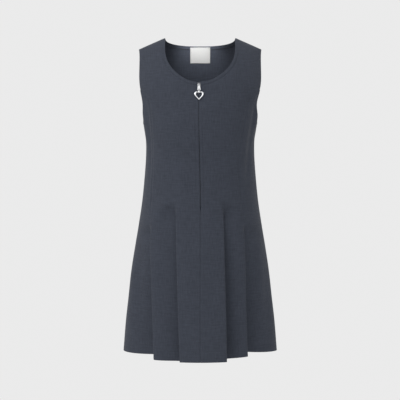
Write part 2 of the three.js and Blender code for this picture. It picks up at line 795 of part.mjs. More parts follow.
// The slider: a body that narrows downwards and the bridge that carries the pull tab.
function zipSlider() {
  const top = SLIDER.length / 2;
  const half = SLIDER.width / 2;
  const tail = SLIDER.tailWidth / 2;
  const body = plate(new THREE.Shape([
    new THREE.Vector2(-tail, -top), new THREE.Vector2(tail, -top),
    new THREE.Vector2(half, 0), new THREE.Vector2(half, top - SLIDER.corner),
    new THREE.Vector2(half - SLIDER.corner, top), new THREE.Vector2(SLIDER.corner - half, top),
    new THREE.Vector2(-half, top - SLIDER.corner), new THREE.Vector2(-half, 0),
  ]), SLIDER.thickness).translate(0, SLIDER.thickness / 2 - SLIDER.proud, 0);
  const arch = (reach, rise) => Array.from({ length: BRIDGE.segments + 1 }, (unused, index) => {
    const angle = index / BRIDGE.segments * Math.PI;
    return new THREE.Vector2(reach * Math.cos(angle), -SLIDER.proud - rise * Math.sin(angle));
  });
  const outer = arch(BRIDGE.halfLength + BRIDGE.wall, BRIDGE.rise + BRIDGE.wall);
  const inner = arch(BRIDGE.halfLength, BRIDGE.rise).reverse();
  const foot = BRIDGE.sunk - SLIDER.proud;
  const profile = new THREE.Shape([
    new THREE.Vector2(outer[0].x, foot), ...outer, new THREE.Vector2(outer.at(-1).x, foot),
    new THREE.Vector2(inner[0].x, foot), ...inner, new THREE.Vector2(inner.at(-1).x, foot),
  ]);
  return named('zip_slider', joined(body, strip(profile, BRIDGE.width)), material(COLOURS.metal, 0.3, 1));
}

// The pull tab: tapered, with an eye at the top and a slot at the bottom. Its axis is at zero.
function pullTab() {
  const top = TAB.bar / 2;
  const low = top - TAB.length;
  const narrow = TAB.topWidth / 2;
  const wide = TAB.endWidth / 2;
  const outline = new THREE.Shape([
    new THREE.Vector2(TAB.corner - wide, low), new THREE.Vector2(wide - TAB.corner, low),
    new THREE.Vector2(wide, low + 2 * TAB.corner), new THREE.Vector2(narrow, top - TAB.bar),
    new THREE.Vector2(narrow - TAB.topCorner, top), new THREE.Vector2(TAB.topCorner - narrow, top),
    new THREE.Vector2(-narrow, top - TAB.bar), new THREE.Vector2(-wide, low + 2 * TAB.corner),
  ]);
  outline.holes.push(rectangleHole(TAB.eyeWidth / 2, -top - TAB.eyeLength, -top));
  outline.holes.push(rectangleHole(TAB.slotWidth / 2, low + TAB.bar, low + TAB.bar + TAB.slotLength));
  return named('pull_tab', plate(outline, TAB.thickness), material(COLOURS.metal, 0.35, 1));
}

// The heart's outline at a size, round the middle of its height.
function heartOutline(scale, Path) {
  const at = (row, way) => [
    way * row.across * scale * HEART.width / 2,
    (HEART.middle - row.fallen * HEART.height) * scale - HEART.middle - HEART.below,
  ];
  const halves = [
    ...HEART_HALF.map((row) => at(row, -1)),
    ...HEART_HALF.toReversed().slice(1).map((row) => at(row, 1)),
  ];
  const path = new Path();
  path.moveTo(...halves[0]);
  for (let end = 3; end < halves.length; end += 3) {
    path.bezierCurveTo(...halves.slice(end - 2, end + 1).flat());
  }
  return path;
}

// The heart-shaped ring with the loop that hangs it in the tab's slot. Its axis is at zero.
function heartCharm() {
  const outline = heartOutline(1, THREE.Shape);
  outline.holes.push(heartOutline(1 - 2 * HEART.ring / HEART.width, THREE.Path));
  const ring = plate(outline, HEART.thickness);
  const circle = (radius) => Array.from({ length: LOOP.segments }, (unused, index) => {
    const angle = index / LOOP.segments * 2 * Math.PI;
    return new THREE.Vector2(radius * Math.cos(angle), radius * Math.sin(angle));
  });
  const rim = new THREE.Shape(circle(LOOP.innerRadius + LOOP.wall));
  rim.holes.push(new THREE.Path(circle(LOOP.innerRadius).reverse()));
  const loop = strip(rim, LOOP.width);
  const neckTop = -LOOP.innerRadius - LOOP.wall / 2;
  const neckLow = -HEART.below - HEART_HALF[0].fallen * HEART.height - LOOP.overlap;
  const neck = plate(new THREE.Shape([
    new THREE.Vector2(-LOOP.width / 2, neckLow), new THREE.Vector2(LOOP.width / 2, neckLow),
    new THREE.Vector2(LOOP.width / 2, neckTop), new THREE.Vector2(-LOOP.width / 2, neckTop),
  ]), HEART.thickness);
  return named('heart_charm', joined(ring, loop, neck), material(COLOURS.metal, 0.25, 1));
}

// The slider at the top of the zip, with the tab on its bridge and the charm in the tab's slot.
function zipPuller() {
  const reach = TAB.length + HEART.height;
  const upper = leaned(bodyPoint(0, SLIDER.below, FRONT), SLIDER.below);
  const lower = bodyPoint(0, SLIDER.below + reach, FRONT);
  const slider = new THREE.Group();
  slider.position.copy(upper);
  slider.rotation.x = -Math.atan2(upper.y - lower.y, upper.z - lower.z);
  const tab = new THREE.Group();
  tab.position.set(0, -SLIDER.proud - TAB.axisProud, TAB.axisUp);
  const charm = new THREE.Group();
  charm.position.set(0, 0, TAB.bar - TAB.length);
  charm.add(heartCharm());
  tab.add(pullTab(), charm);
  slider.add(zipSlider(), tab);
  return slider;
}

const dress = new THREE.Group();
dress.name = 'pinafore_dress';
dress.add(backPiece());
dress.add(...frontPieces('left'));
dress.add(...frontPieces('right'));
dress.add(zipTape('left'), zipTape('right'));
dress.add(neckLabel());
dress.add(zipPuller());

export default dress;
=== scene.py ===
"""Child's sleeveless pinafore dress with a front zip and knife pleats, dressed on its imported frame.

The dress hangs filled out from its shoulders. +Z is up, the front faces -Y and the wearer's left is
+X. Sizes are millimetres, measured down from the neck points where a name says below, and every mesh
is written in metres.
"""
import logging
import math
from collections.abc import Callable, Iterable
from dataclasses import dataclass, field
from enum import Enum

import bmesh
import bpy
import numpy as np
from mathutils import Matrix, Vector
from mathutils.bvhtree import BVHTree


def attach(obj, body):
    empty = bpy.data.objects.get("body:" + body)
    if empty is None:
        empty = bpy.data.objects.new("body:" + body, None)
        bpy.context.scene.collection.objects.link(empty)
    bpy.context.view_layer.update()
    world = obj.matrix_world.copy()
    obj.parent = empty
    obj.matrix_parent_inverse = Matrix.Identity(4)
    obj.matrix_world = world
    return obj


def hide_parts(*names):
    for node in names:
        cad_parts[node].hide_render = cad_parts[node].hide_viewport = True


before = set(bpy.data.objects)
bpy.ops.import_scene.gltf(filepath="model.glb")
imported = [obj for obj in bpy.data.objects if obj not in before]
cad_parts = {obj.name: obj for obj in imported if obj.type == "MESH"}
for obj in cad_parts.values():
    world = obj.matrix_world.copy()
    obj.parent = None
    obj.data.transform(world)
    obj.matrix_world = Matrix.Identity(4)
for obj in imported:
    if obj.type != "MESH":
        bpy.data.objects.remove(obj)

log = logging.getLogger("pinafore_dress")
Array = np.ndarray
MM = 0.001
DRESS = "dress"


def mix(start: Array | float, end: Array | float, share: Array | float) -> Array | float:
    """The value a share of the way from start to end."""
    return start + (end - start) * share


def ease(share: Array | float) -> Array | float:
    """A smooth step from 0 to 1."""
    held = np.clip(share, 0.0, 1.0)
    return held * held * (3.0 - 2.0 * held)


def unit(vectors: Array) -> Array:
    """Vectors made one long, along the last axis."""
    return vectors / np.maximum(np.linalg.norm(vectors, axis=-1, keepdims=True), 1e-9)


class Curves:
    """Smooth curves through the columns of a short table whose first column is the place."""

    def __init__(self, columns: str, rows: list[tuple[float, ...]]) -> None:
        """Keep a table.

        Args:
            columns: the names of the value columns, after the first.
            rows: the table's rows, in rising order of their first number.
        """
        table = np.array(rows, float)
        self.places = table[:, 0]
        self.columns = dict(zip(columns.split(), table[:, 1:].T))

    def at(self, column: str, place: Array | float) -> Array:
        """Read a column.

        Args:
            column: the column's name.
            place: where along the table to read it.

        Returns:
            The values on a smooth curve through the column.
        """
        x, y = self.places, self.columns[column]
        last = len(x) - 1
        before = np.maximum(np.arange(last + 1) - 1, 0)
        after = np.minimum(np.arange(last + 1) + 1, last)
        slope = (y[after] - y[before]) / (x[after] - x[before])
        place = np.clip(np.asarray(place, float), x[0], x[-1])
        low = np.clip(np.searchsorted(x, place, side="right") - 1, 0, last - 1)
        span = x[low + 1] - x[low]
        t = (place - x[low]) / span
        start = y[low] * (2 * t**3 - 3 * t**2 + 1) + slope[low] * span * (t**3 - 2 * t**2 + t)
        end = y[low + 1] * (3 * t**2 - 2 * t**3) + slope[low + 1] * span * (t**3 - t**2)
        return start + end


@dataclass(frozen=True)
class Half:
    """The front or the back half of the dress."""

    column: str
    sign: int
    shoulder_rise: float
    scoop: float
    neck_share: float


FRONT = Half("front", -1, 110.0, 0.25, 0.84)
BACK = Half("back", 1, 90.0, 0.22, 0.56)

BODY = Curves("half_width front back squareness", [
    (0, 128, 58, 62, 2.3),
    (24, 129.5, 66, 68, 2.3),
    (64, 134.6, 76, 80, 2.3),
    (90, 136, 82, 86, 2.3),
    (115, 132.8, 87, 89, 2.3),
    (141, 126, 92, 90, 2.3),
    (160, 122.6, 94, 89.5, 2.3),
    (180, 120.6, 95, 88, 2.3),
    (218, 115.2, 94, 83, 2.3),
    (248, 115, 91.5, 79, 2.3),
    (290, 117.8, 91.5, 82, 2.25),
    (347, 123.6, 94, 90, 2.2),
    (398, 131.4, 98, 97, 2.15),
    (449, 140, 103, 103, 2.1),
    (501, 147.9, 107, 107, 2.05),
    (552, 153.7, 111, 110, 2),
    (604, 159.8, 115, 113, 2),
    (670, 165.4, 119, 116, 2),
])
LEFT_LINES = Curves("inner outer", [
    (128, 44, 103),
    (150, 44.5, 97),
    (186, 45.5, 89.5),
    (239, 46.5, 81),
    (282, 47, 80),
    (330, 47.5, 84.5),
    (389, 48.5, 91),
    (560, 53, 100.7),
    (670, 55.4, 106.7),
])
RIGHT_LINES = Curves("inner outer", [
    (128, 52, 109),
    (150, 52, 104),
    (186, 52, 101),
    (239, 52, 99),
    (282, 52, 99.5),
    (330, 52, 101.5),
    (389, 51, 105.5),
    (560, 46.4, 102.5),
    (670, 42.3, 99.5),
])
LEAN = Curves("offset", [(96, -2.4), (143, -3.4), (250, -1.2), (346, 0.6), (670, 0)])
NECK_EDGE = Curves("across below", [
    (0, 0, 96),
    (1, 21.5, 92.3),
    (2, 42.8, 80.5),
    (3, 61.1, 62.8),
    (4, 72.3, 38.3),
    (5, 75, 0.9),
])
HEM = 670.0
SKIRT_TOP = 200.0
SECTION_STEP = 4.0


@dataclass(frozen=True)
class Cut:
    """The sizes that the cloth was cut to and sewn with."""

    neck_point_z: float = 12.0
    neck_half_width: float = 75.0
    front_drop: float = 96.0
    back_drop: float = 16.5
    back_squareness: float = 2.4
    tip_half_width: float = 129.5
    shoulder_drop: float = 24.0
    shoulder_softening: float = 8.0
    underarm: float = 180.0
    armhole_roundness: float = 0.8
    seam_meets: float = 108.0
    lean_reach: float = 90.0
    zip_end: float = 352.0
    zip_half_gap: float = 1.05
    zip_top_half_gap: float = 4.1
    zip_top_length: float = 26.0
    zip_close_length: float = 12.0
    cloth: float = 1.0
    climb: float = 0.6


CUT = Cut()


class Form:
    """The smooth filled-out form that every cloth piece lies on."""

    shoulder_normal = unit(np.array([CUT.shoulder_drop, 0, CUT.tip_half_width - CUT.neck_half_width]))

    @staticmethod
    def shoulder_line(x: Array) -> Array:
        """How far the shoulder line lies below the neck points, at a distance from the centre."""
        slope = CUT.shoulder_drop / (CUT.tip_half_width - CUT.neck_half_width)
        out = np.asarray(x, float) - CUT.neck_half_width
        soft = CUT.shoulder_softening
        bend = slope * (out + soft) ** 2 / (4 * soft)
        return np.where(out >= soft, slope * out, np.where(out <= -soft, 0.0, bend))

    @staticmethod
    def turn_of(x: Array | float, below: Array | float) -> Array:
        """The place round a section, 0 at the centre and 1 at the side, of a distance across."""
        share = np.clip(x / BODY.at("half_width", below), 0, 1)
        return np.arcsin(share ** (BODY.at("squareness", below) / 2)) / (math.pi / 2)

    @classmethod
    def point(cls, turn: Array, below: Array, half: Half) -> Array:
        """Points of the cloth's middle surface, for the wearer's left hand."""
        angle = np.clip(turn, 0, 1) * math.pi / 2
        power = 2 / BODY.at("squareness", below)
        x = BODY.at("half_width", below) * np.sin(angle) ** power
        rise = np.clip((below - cls.shoulder_line(x)) / half.shoulder_rise, 0, 1)
        depth = BODY.at(half.column, below) * np.maximum(np.cos(angle), 0) ** power
        y = half.sign * depth * np.sqrt(1 - (1 - rise) ** 2)
        return np.stack(np.broadcast_arrays(x, y, CUT.neck_point_z - below), axis=-1)

    @classmethod
    def directions(cls, turn: Array, below: Array, half: Half) -> tuple[Array, Array]:
        """Find the surface's directions.

        Args:
            turn: places round the section.
            below: heights.
            half: the front or the back.

        Returns:
            The outward normals and the directions round the section, away from the centre.
        """
        near = np.clip(turn, 0.004, 0.996)
        down = cls.point(near, below + 0.5, half) - cls.point(near, below - 0.5, half)
        around = cls.point(near + 0.002, below, half) - cls.point(near - 0.002, below, half)
        around[..., 0] = np.where(turn > 0.999, 0, around[..., 0])
        around[..., 1] = np.where(turn < 0.001, 0, around[..., 1])
        return unit(np.cross(down, around) * -half.sign), unit(around)

    @classmethod
    def section(cls, below: float, half: Half) -> tuple[Array, Array]:
        """The turns and the lengths from the centre line, along one section."""
        turns = np.linspace(0, 1, 73)
        points = cls.point(turns, np.full(73, float(below)), half)
        steps = np.linalg.norm(np.diff(points, axis=0), axis=1)
        return turns, np.concatenate([[0.0], np.cumsum(steps)])

    @classmethod
    def along_of(cls, turn: Array, below: Array, half: Half) -> Array:
        """The lengths from the centre line of places anywhere on the form."""
        along = np.zeros_like(turn)
        level = below / SECTION_STEP
        for index in range(int(level.min()), int(level.max()) + 2):
            turns, lengths = cls.section(index * SECTION_STEP, half)
            weight = np.maximum(1 - np.abs(level - index), 0)
            along += weight * np.interp(turn, turns, lengths)
        return along


@dataclass(frozen=True)
class Pleat:
    """A knife pleat: where it opens, how far it reaches under and how deep and high it lies."""

    opens: float
    overlap: float
    step: float
    sunk: float
    rise_before: float
    rise_after: float
    bend: float = 2.1
    lead: float = 2.4
    curl_length: float = 44.0
    grow_length: float = 70.0
    spring: float = 0.04

    def cells(self, below: float, bend_cells: int, layer_cells: int) -> tuple[Array, Array]:
        """Work out the fold's section.

        Args:
            below: the height.
            bend_cells: cells in each of the two bends.
            layer_cells: cells in each of the two hidden layers.

        Returns:
            The lengths and the headings of the cells, from the outer fold inwards.
        """
        fallen = below - self.opens
        turned = np.clip(fallen / self.curl_length, 0, 1)
        curl = mix(turned, ease(turned), 0.5)
        grown = ease((fallen - self.curl_length) / self.grow_length)
        run = np.clip((fallen - self.curl_length) / (HEM - self.opens - self.curl_length), 0, 1)
        reach = mix(self.lead, self.overlap, grown)
        spare = max(self.step - 5.4, 0)
        opening = math.atan(spare * run / (2 * reach)) + self.spring * curl
        back, tilt = curl * (math.pi - opening), curl * opening
        layer = reach / math.cos(opening)
        round_share = (np.arange(bend_cells) + 0.5) / bend_cells
        bend = np.full(bend_cells, 2 * self.bend / bend_cells)
        straight = np.full(layer_cells, layer / layer_cells)
        lengths = np.concatenate([bend, straight, bend, straight])
        headings = np.concatenate([
            back * round_share, np.full(layer_cells, back),
            back - (back - tilt) * round_share, np.full(layer_cells, tilt),
        ])
        return lengths, headings

    def corners(self, fold_line: float, below: float, bend_cells: int, layer_cells: int) -> Array:
        """The fold's corners as rows of distance along and depth behind the surface."""
        lengths, headings = self.cells(below, bend_cells, layer_cells)
        first = slice(0, bend_cells + layer_cells)
        forward = np.maximum(lengths[first] * np.cos(headings[first]), 0).sum()
        depth = self.sunk * ease((below - self.opens) / (HEM - self.opens))
        along = fold_line - forward + np.concatenate([[0], np.cumsum(lengths * np.cos(headings))])
        sink = depth + np.concatenate([[0], np.cumsum(lengths * np.sin(headings))])
        return np.stack([along, sink], axis=1)


@dataclass(frozen=True)
class Hand:
    """One hand of the front: its side, fold lines and pleats."""

    name: str
    sign: int
    lines: Curves
    inner: Pleat
    outer: Pleat


HANDS = (
    Hand("left", 1, LEFT_LINES, Pleat(345, 22, 22, 0, -3, 0), Pleat(389, 22, 18, 12, 3, 11)),
    Hand("right", -1, RIGHT_LINES, Pleat(345, 22, 14, 0, -3, -3.5), Pleat(389, 22, 27, 4, -2.5, 6)),
)


@dataclass(frozen=True)
class Crease:
    """A soft trough, or a ridge if its depth is negative, on the cloth.

    Its line is a run of places: the length round from the centre line, positive on the wearer's
    left, and the height below the neck points.
    """

    line: tuple[tuple[float, float], ...]
    depth: float
    width: float

    def relief(self, around: Array, below: Array) -> Array:
        """How far the crease moves each place outwards."""
        points = np.array(self.line, float)
        steps = np.linalg.norm(np.diff(points, axis=0), axis=1)
        ends = np.concatenate([[0], np.cumsum(steps)]) / steps.sum()
        nearest = np.full(around.shape, 1e9)
        share = np.zeros(around.shape)
        places = np.stack([around, below], axis=-1)
        for start, end, step, low, high in zip(points, points[1:], steps, ends, ends[1:]):
            t = np.clip(((places - start) @ (end - start)) / step**2, 0, 1)
            distance = np.linalg.norm(places - start - t[..., None] * (end - start), axis=-1)
            closer = distance < nearest
            nearest = np.where(closer, distance, nearest)
            share = np.where(closer, mix(low, high, t), share)
        taper = ease(share / 0.3) * ease((1 - share) / 0.3)
        return -self.depth * np.exp(-((nearest / self.width) ** 2)) * taper


FRONT_CREASES = (
    Crease(((150, 96), (139, 122), (131, 160), (122, 215), (112, 268), (104, 330)), 3.1, 10),
    Crease(((152, 130), (143, 165), (138, 196)), -2.4, 9),
    Crease(((166, 200), (146, 222), (120, 246)), 1.5, 8),
    Crease(((-146, 120), (-141, 160), (-136, 215), (-134, 262)), -2.4, 9),
    Crease(((-128, 112), (-122, 170), (-118, 240), (-120, 330)), 1.6, 7),
    Crease(((-64, 332), (-86, 362), (-108, 402)), -1.9, 11),
    Crease(((-165, 205), (-142, 226), (-112, 240)), 1.0, 8),
    Crease(((-20, 250), (-44, 262), (-70, 266)), 0.7, 10),
    Crease(((24, 262), (56, 254), (84, 246)), 0.8, 11),
    Crease(((-100, 60), (-84, 92), (-62, 118)), 0.8, 13),
    Crease(((104, 58), (90, 88), (66, 116)), 0.9, 14),
    Crease(((-30, 400), (-27, 480), (-30, 590)), -0.9, 14),
    Crease(((20, 420), (24, 520), (21, 620)), 0.8, 13),
    Crease(((140, 400), (148, 480), (152, 600)), -2.2, 17),
    Crease(((170, 470), (176, 560), (178, 640)), 1.8, 15),
    Crease(((-146, 420), (-156, 500), (-158, 620)), 1.7, 15),
    Crease(((-176, 440), (-184, 540), (-188, 650)), -1.8, 14),
    Crease(((80, 420), (84, 500), (82, 610)), -0.8, 11),
    Crease(((-84, 430), (-82, 520), (-80, 620)), 0.8, 12),
)
BACK_CREASES = (
    Crease(((138, 92), (120, 128), (92, 150)), 2.0, 12),
    Crease(((-136, 96), (-114, 136), (-84, 160)), 1.7, 13),
    Crease(((150, 176), (128, 206), (96, 228)), 1.9, 11),
    Crease(((-152, 182), (-132, 214), (-98, 240)), 2.1, 12),
    Crease(((-70, 236), (-16, 250), (44, 244), (84, 226)), 1.8, 14),
    Crease(((-58, 268), (0, 276), (62, 268)), 1.3, 13),
    Crease(((-96, 300), (-92, 400), (-100, 520), (-108, 660)), -3.0, 20),
    Crease(((-50, 330), (-46, 450), (-50, 580), (-54, 668)), 2.8, 22),
    Crease(((4, 350), (2, 460), (8, 600), (10, 668)), -2.4, 20),
    Crease(((56, 330), (60, 450), (64, 580), (66, 668)), 2.9, 21),
    Crease(((108, 310), (112, 420), (118, 560), (124, 668)), -2.8, 20),
    Crease(((150, 400), (156, 520), (164, 668)), 2.2, 18),
    Crease(((-148, 390), (-154, 500), (-160, 668)), 2.4, 19),
    Crease(((-20, 70), (0, 110), (16, 150)), -0.8, 16),
)


@dataclass
class Panel:
    """A cloth piece as a grid of places on the form, row by row from the hem up."""

    half: Half
    hand: Array
    turn: Array
    below: Array
    sink: Array
    heading: Array
    along: Array
    ridge: Array
    relief: Array = field(default_factory=lambda: np.zeros(1))

    def surface(self) -> tuple[Array, Array]:
        """The points of the cloth's middle surface and its outward normals."""
        points = Form.point(self.turn, self.below, self.half)
        outward, around = Form.directions(self.turn, self.below, self.half)
        outward = np.where(self.ridge[..., None], Form.shoulder_normal, outward)
        points = points + outward * (self.relief - self.sink)[..., None]
        normal = unit(outward * np.cos(self.heading)[..., None] + around * np.sin(self.heading)[..., None])
        points[..., 0] *= self.hand
        normal[..., 0] *= self.hand
        if self.half is FRONT:
            reach = np.clip(1 - np.abs(points[..., 0]) / CUT.lean_reach, 0, 1)
            points[..., 0] += LEAN.at("offset", self.below) * ease(reach)
        return points, normal

    def crease(self, creases: Iterable[Crease]) -> None:
        """Press the creases into the cloth."""
        for crease in creases:
            self.relief = self.relief + crease.relief(self.along * self.hand, self.below)

    def border(self, edge: "Edge", lines: slice = slice(None)) -> tuple[Array, Array]:
        """The points and the normals along an edge."""
        points, normals = self.surface()
        return edge.inwards(points)[lines, 0], edge.inwards(normals)[lines, 0]

    def distance(self, edge: "Edge", lines: slice = slice(None)) -> Array:
        """How far each place lies from an edge, or from some lines of it."""
        points = self.surface()[0]
        along = self.border(edge, lines)[0]
        nearest = np.full(points.shape[:2], 1e9)
        for start, step in zip(along, np.diff(along, axis=0)):
            share = np.clip(((points - start) @ step) / max(float(step @ step), 1e-9), 0, 1)
            away = points - start - share[..., None] * step
            nearest = np.minimum(nearest, np.einsum("ijk,ijk->ij", away, away))
        return np.sqrt(nearest)

    def line_at(self, edge: "Edge", distance: float, lines: slice = slice(None)) -> tuple[Array, Array]:
        """A line on the surface at a distance from an edge: its points and normals."""
        start, normal = self.border(edge, lines)
        if distance <= 0:
            return start, normal
        if edge is Edge.HEM:
            return self.line_up(distance)
        points, normals = self.surface()
        second = edge.inwards(points)[lines, 1]
        into = unit(np.cross(normal, unit(np.gradient(start, axis=0))))
        into = into * np.sign(np.median(np.einsum("ij,ij->i", into, second - start)))
        tree, sign = self.tree(points, normals)
        found, facing = [], []
        for place in start + into * distance:
            nearest, outward, _, _ = tree.find_nearest(place)
            found.append(nearest)
            facing.append(outward)
        return np.array(found), unit(np.array(facing) * sign + 0.5 * normal)

    def line_up(self, distance: float) -> tuple[Array, Array]:
        """A line on the surface at a distance up the columns from the hem."""
        points, normals = self.surface()
        steps = np.linalg.norm(np.diff(points, axis=0), axis=2)
        lengths = np.vstack([np.zeros((1, points.shape[1])), np.cumsum(steps, axis=0)])
        made = [
            np.array([[np.interp(distance, lengths[:, column], grid[:, column, axis])
                       for axis in range(3)] for column in range(points.shape[1])])
            for grid in (points, normals)
        ]
        return made[0], unit(made[1])

    @staticmethod
    def tree(points: Array, normals: Array) -> tuple[BVHTree, float]:
        """A search tree of the surface, and the sign that turns its normals outwards."""
        rows, columns = points.shape[:2]
        index = np.arange(rows * columns).reshape(rows, columns)
        quads = np.stack([index[:-1, :-1], index[:-1, 1:], index[1:, 1:], index[1:, :-1]], axis=-1)
        tree = BVHTree.FromPolygons(points.reshape(-1, 3).tolist(), quads.reshape(-1, 4).tolist())
        across, up = points[0, 1] - points[0, 0], points[1, 0] - points[0, 0]
        return tree, float(np.sign(np.dot(np.cross(across, up), normals[0, 0])))


class Edge(Enum):
    """The four edges of a panel's grid."""

    HEM = "hem"
    TOP = "top"
    FIRST = "first column"
    LAST = "last column"

    def inwards(self, grid: Array) -> Array:
        """The grid with this edge's lines first and running in from it."""
        turned = {
            Edge.HEM: lambda: grid.swapaxes(0, 1),
            Edge.TOP: lambda: grid[::-1].swapaxes(0, 1),
            Edge.FIRST: lambda: grid,
            Edge.LAST: lambda: grid[:, ::-1],
        }
        return turned[self]()


@dataclass(frozen=True)
class Grain:
    """How finely the cloth is divided: cells across, and the height of its rows."""

    centre_panel: int = 24
    bend: int = 4
    layer: int = 5
    side_panel: int = 20
    outer_panel: int = 24
    back_half: int = 56
    row: float = 3.4
    back_row: float = 4.7
    upper_rows: int = 48

    @property
    def fold(self) -> int:
        """Cells in a whole fold."""
        return 2 * (self.bend + self.layer)

    @property
    def seam(self) -> int:
        """The column of the seam between a front and its side front."""
        return self.centre_panel + self.fold + self.side_panel + self.bend + self.layer


GRAIN = Grain()
UNDERARM_SHARE = 0.2
SEAM_STEPS = ((0.0, 200.0), (0.25, 178.0), (0.5, 155.0), (0.75, 131.0))
ARMHOLE_MIDDLE = (CUT.underarm + CUT.shoulder_drop) / 2
ARMHOLE_REACH = (CUT.underarm - CUT.shoulder_drop) / 2
SEAM_SHARE = math.acos((CUT.seam_meets - ARMHOLE_MIDDLE) / ARMHOLE_REACH) / math.pi


def climb(share: Array) -> Array:
    """Shares that lie closer together towards the shoulders."""
    return mix(share, np.sin(share * math.pi / 2), CUT.climb)


def armhole(share: Array | float, half: Half) -> tuple[Array, Array]:
    """The armhole edge's turn and height, from the underarm at 0 to the shoulder tip at 1."""
    angle = np.asarray(share, float) * math.pi
    turn = 1 - half.scoop * np.maximum(np.sin(angle), 0) ** CUT.armhole_roundness
    return turn, ARMHOLE_MIDDLE + ARMHOLE_REACH * np.cos(angle)


def centre_half_gap(below: Array | float) -> Array:
    """Half of the slit at the centre front: wide at the slider, narrow at the zip, then a seam."""
    top = ease((below - CUT.front_drop) / CUT.zip_top_length)
    closing = ease((below - CUT.zip_end) / CUT.zip_close_length)
    return mix(mix(CUT.zip_top_half_gap, CUT.zip_half_gap, top), 0.1, closing)


def neck_edge(share: Array, half: Half) -> tuple[Array, Array]:
    """The neck edge's distance across and height, from the centre at 0 to the neck point at 1."""
    if half is FRONT:
        fine = np.linspace(0, 5, 401)
        across, below = NECK_EDGE.at("across", fine), NECK_EDGE.at("below", fine)
        lengths = np.concatenate([[0], np.cumsum(np.hypot(np.diff(across), np.diff(below)))])
        wanted = mix(CUT.zip_top_half_gap, lengths[-1], share)
        return np.interp(wanted, lengths, across), np.interp(wanted, lengths, below)
    power = 2 / CUT.back_squareness
    top = float(Form.shoulder_line(CUT.neck_half_width))
    angle = share * math.pi / 2
    drop = np.maximum(np.cos(angle), 0) ** power
    return CUT.neck_half_width * np.sin(angle) ** power, mix(top, CUT.back_drop, drop)


def corner_column(columns: int, half: Half) -> int:
    """The column at the neck point of a panel's top edge."""
    return round(half.neck_share * columns)


def top_edge(columns: int, half: Half) -> tuple[Array, Array, Array]:
    """The neck edge and then the shoulder line: turns, heights and where the shoulder is."""
    column = np.arange(columns + 1)
    corner = corner_column(columns, half)
    across, below = neck_edge(np.minimum(column / corner, 1), half)
    out = np.maximum((column - corner) / (columns - corner), 0)
    ridge = column >= corner
    across = np.where(ridge, mix(CUT.neck_half_width, CUT.tip_half_width, out), across)
    below = np.where(ridge, Form.shoulder_line(across), below)
    return Form.turn_of(across, below), below, ridge


@dataclass(frozen=True)
class Blend:
    """How a panel's grid is blended between its edges, so that it never folds over.

    The bends of the side edges fade as they go in, and the columns swell outwards a little.
    """

    by_distance: bool
    fade: float
    height_fade: float
    swell: float = 0.0
    swell_power: float = 1.4

    def values(self, bottom: Array, left: Array, right: Array, top: Array, v: Array, fade: float
               ) -> Array:
        """Fill a panel between four edges.

        Args:
            bottom: the values along the lowest row.
            left: the values up the left edge, without the lowest row's.
            right: the values up the right edge, likewise.
            top: the values along the top row.
            v: the height share of each row.
            fade: how fast the side edges' bends fade.

        Returns:
            The rows above the lowest.
        """
        u = np.linspace(0, 1, len(bottom))[None, :]
        v = v[:, None]
        straight = mix(bottom[None, :], top[None, :], v)
        left_bend = left[:, None] - mix(bottom[0], top[0], v)
        right_bend = right[:, None] - mix(bottom[-1], top[-1], v)
        return straight + (1 - u) ** fade * left_bend + u**fade * right_bend

    def rows(self, bottom: tuple[Array, Array], left: tuple[Array, Array],
             right: tuple[Array, Array], top: tuple[Array, Array], v: Array) -> tuple[Array, Array]:
        """The turns and heights of the rows above the lowest, from those of the four edges."""
        edges = (bottom, left, right, top)
        below = self.values(*(edge[1] for edge in edges), v, self.height_fade)
        if not self.by_distance:
            return self.values(*(edge[0] for edge in edges), v, self.fade), below
        across = self.values(*(Form.point(*edge, FRONT)[..., 0] for edge in edges), v, self.fade)
        u = np.linspace(0, 1, across.shape[1])[None, :] ** self.swell_power
        across = across + self.swell * np.sin(math.pi * v)[:, None] * np.sin(math.pi * u)
        return Form.turn_of(across, below), below


FRONT_BLEND = Blend(True, 3, 3, 3.0)
SIDE_BLEND = Blend(False, 1, 1)
BACK_BLEND = Blend(False, 8, 1)


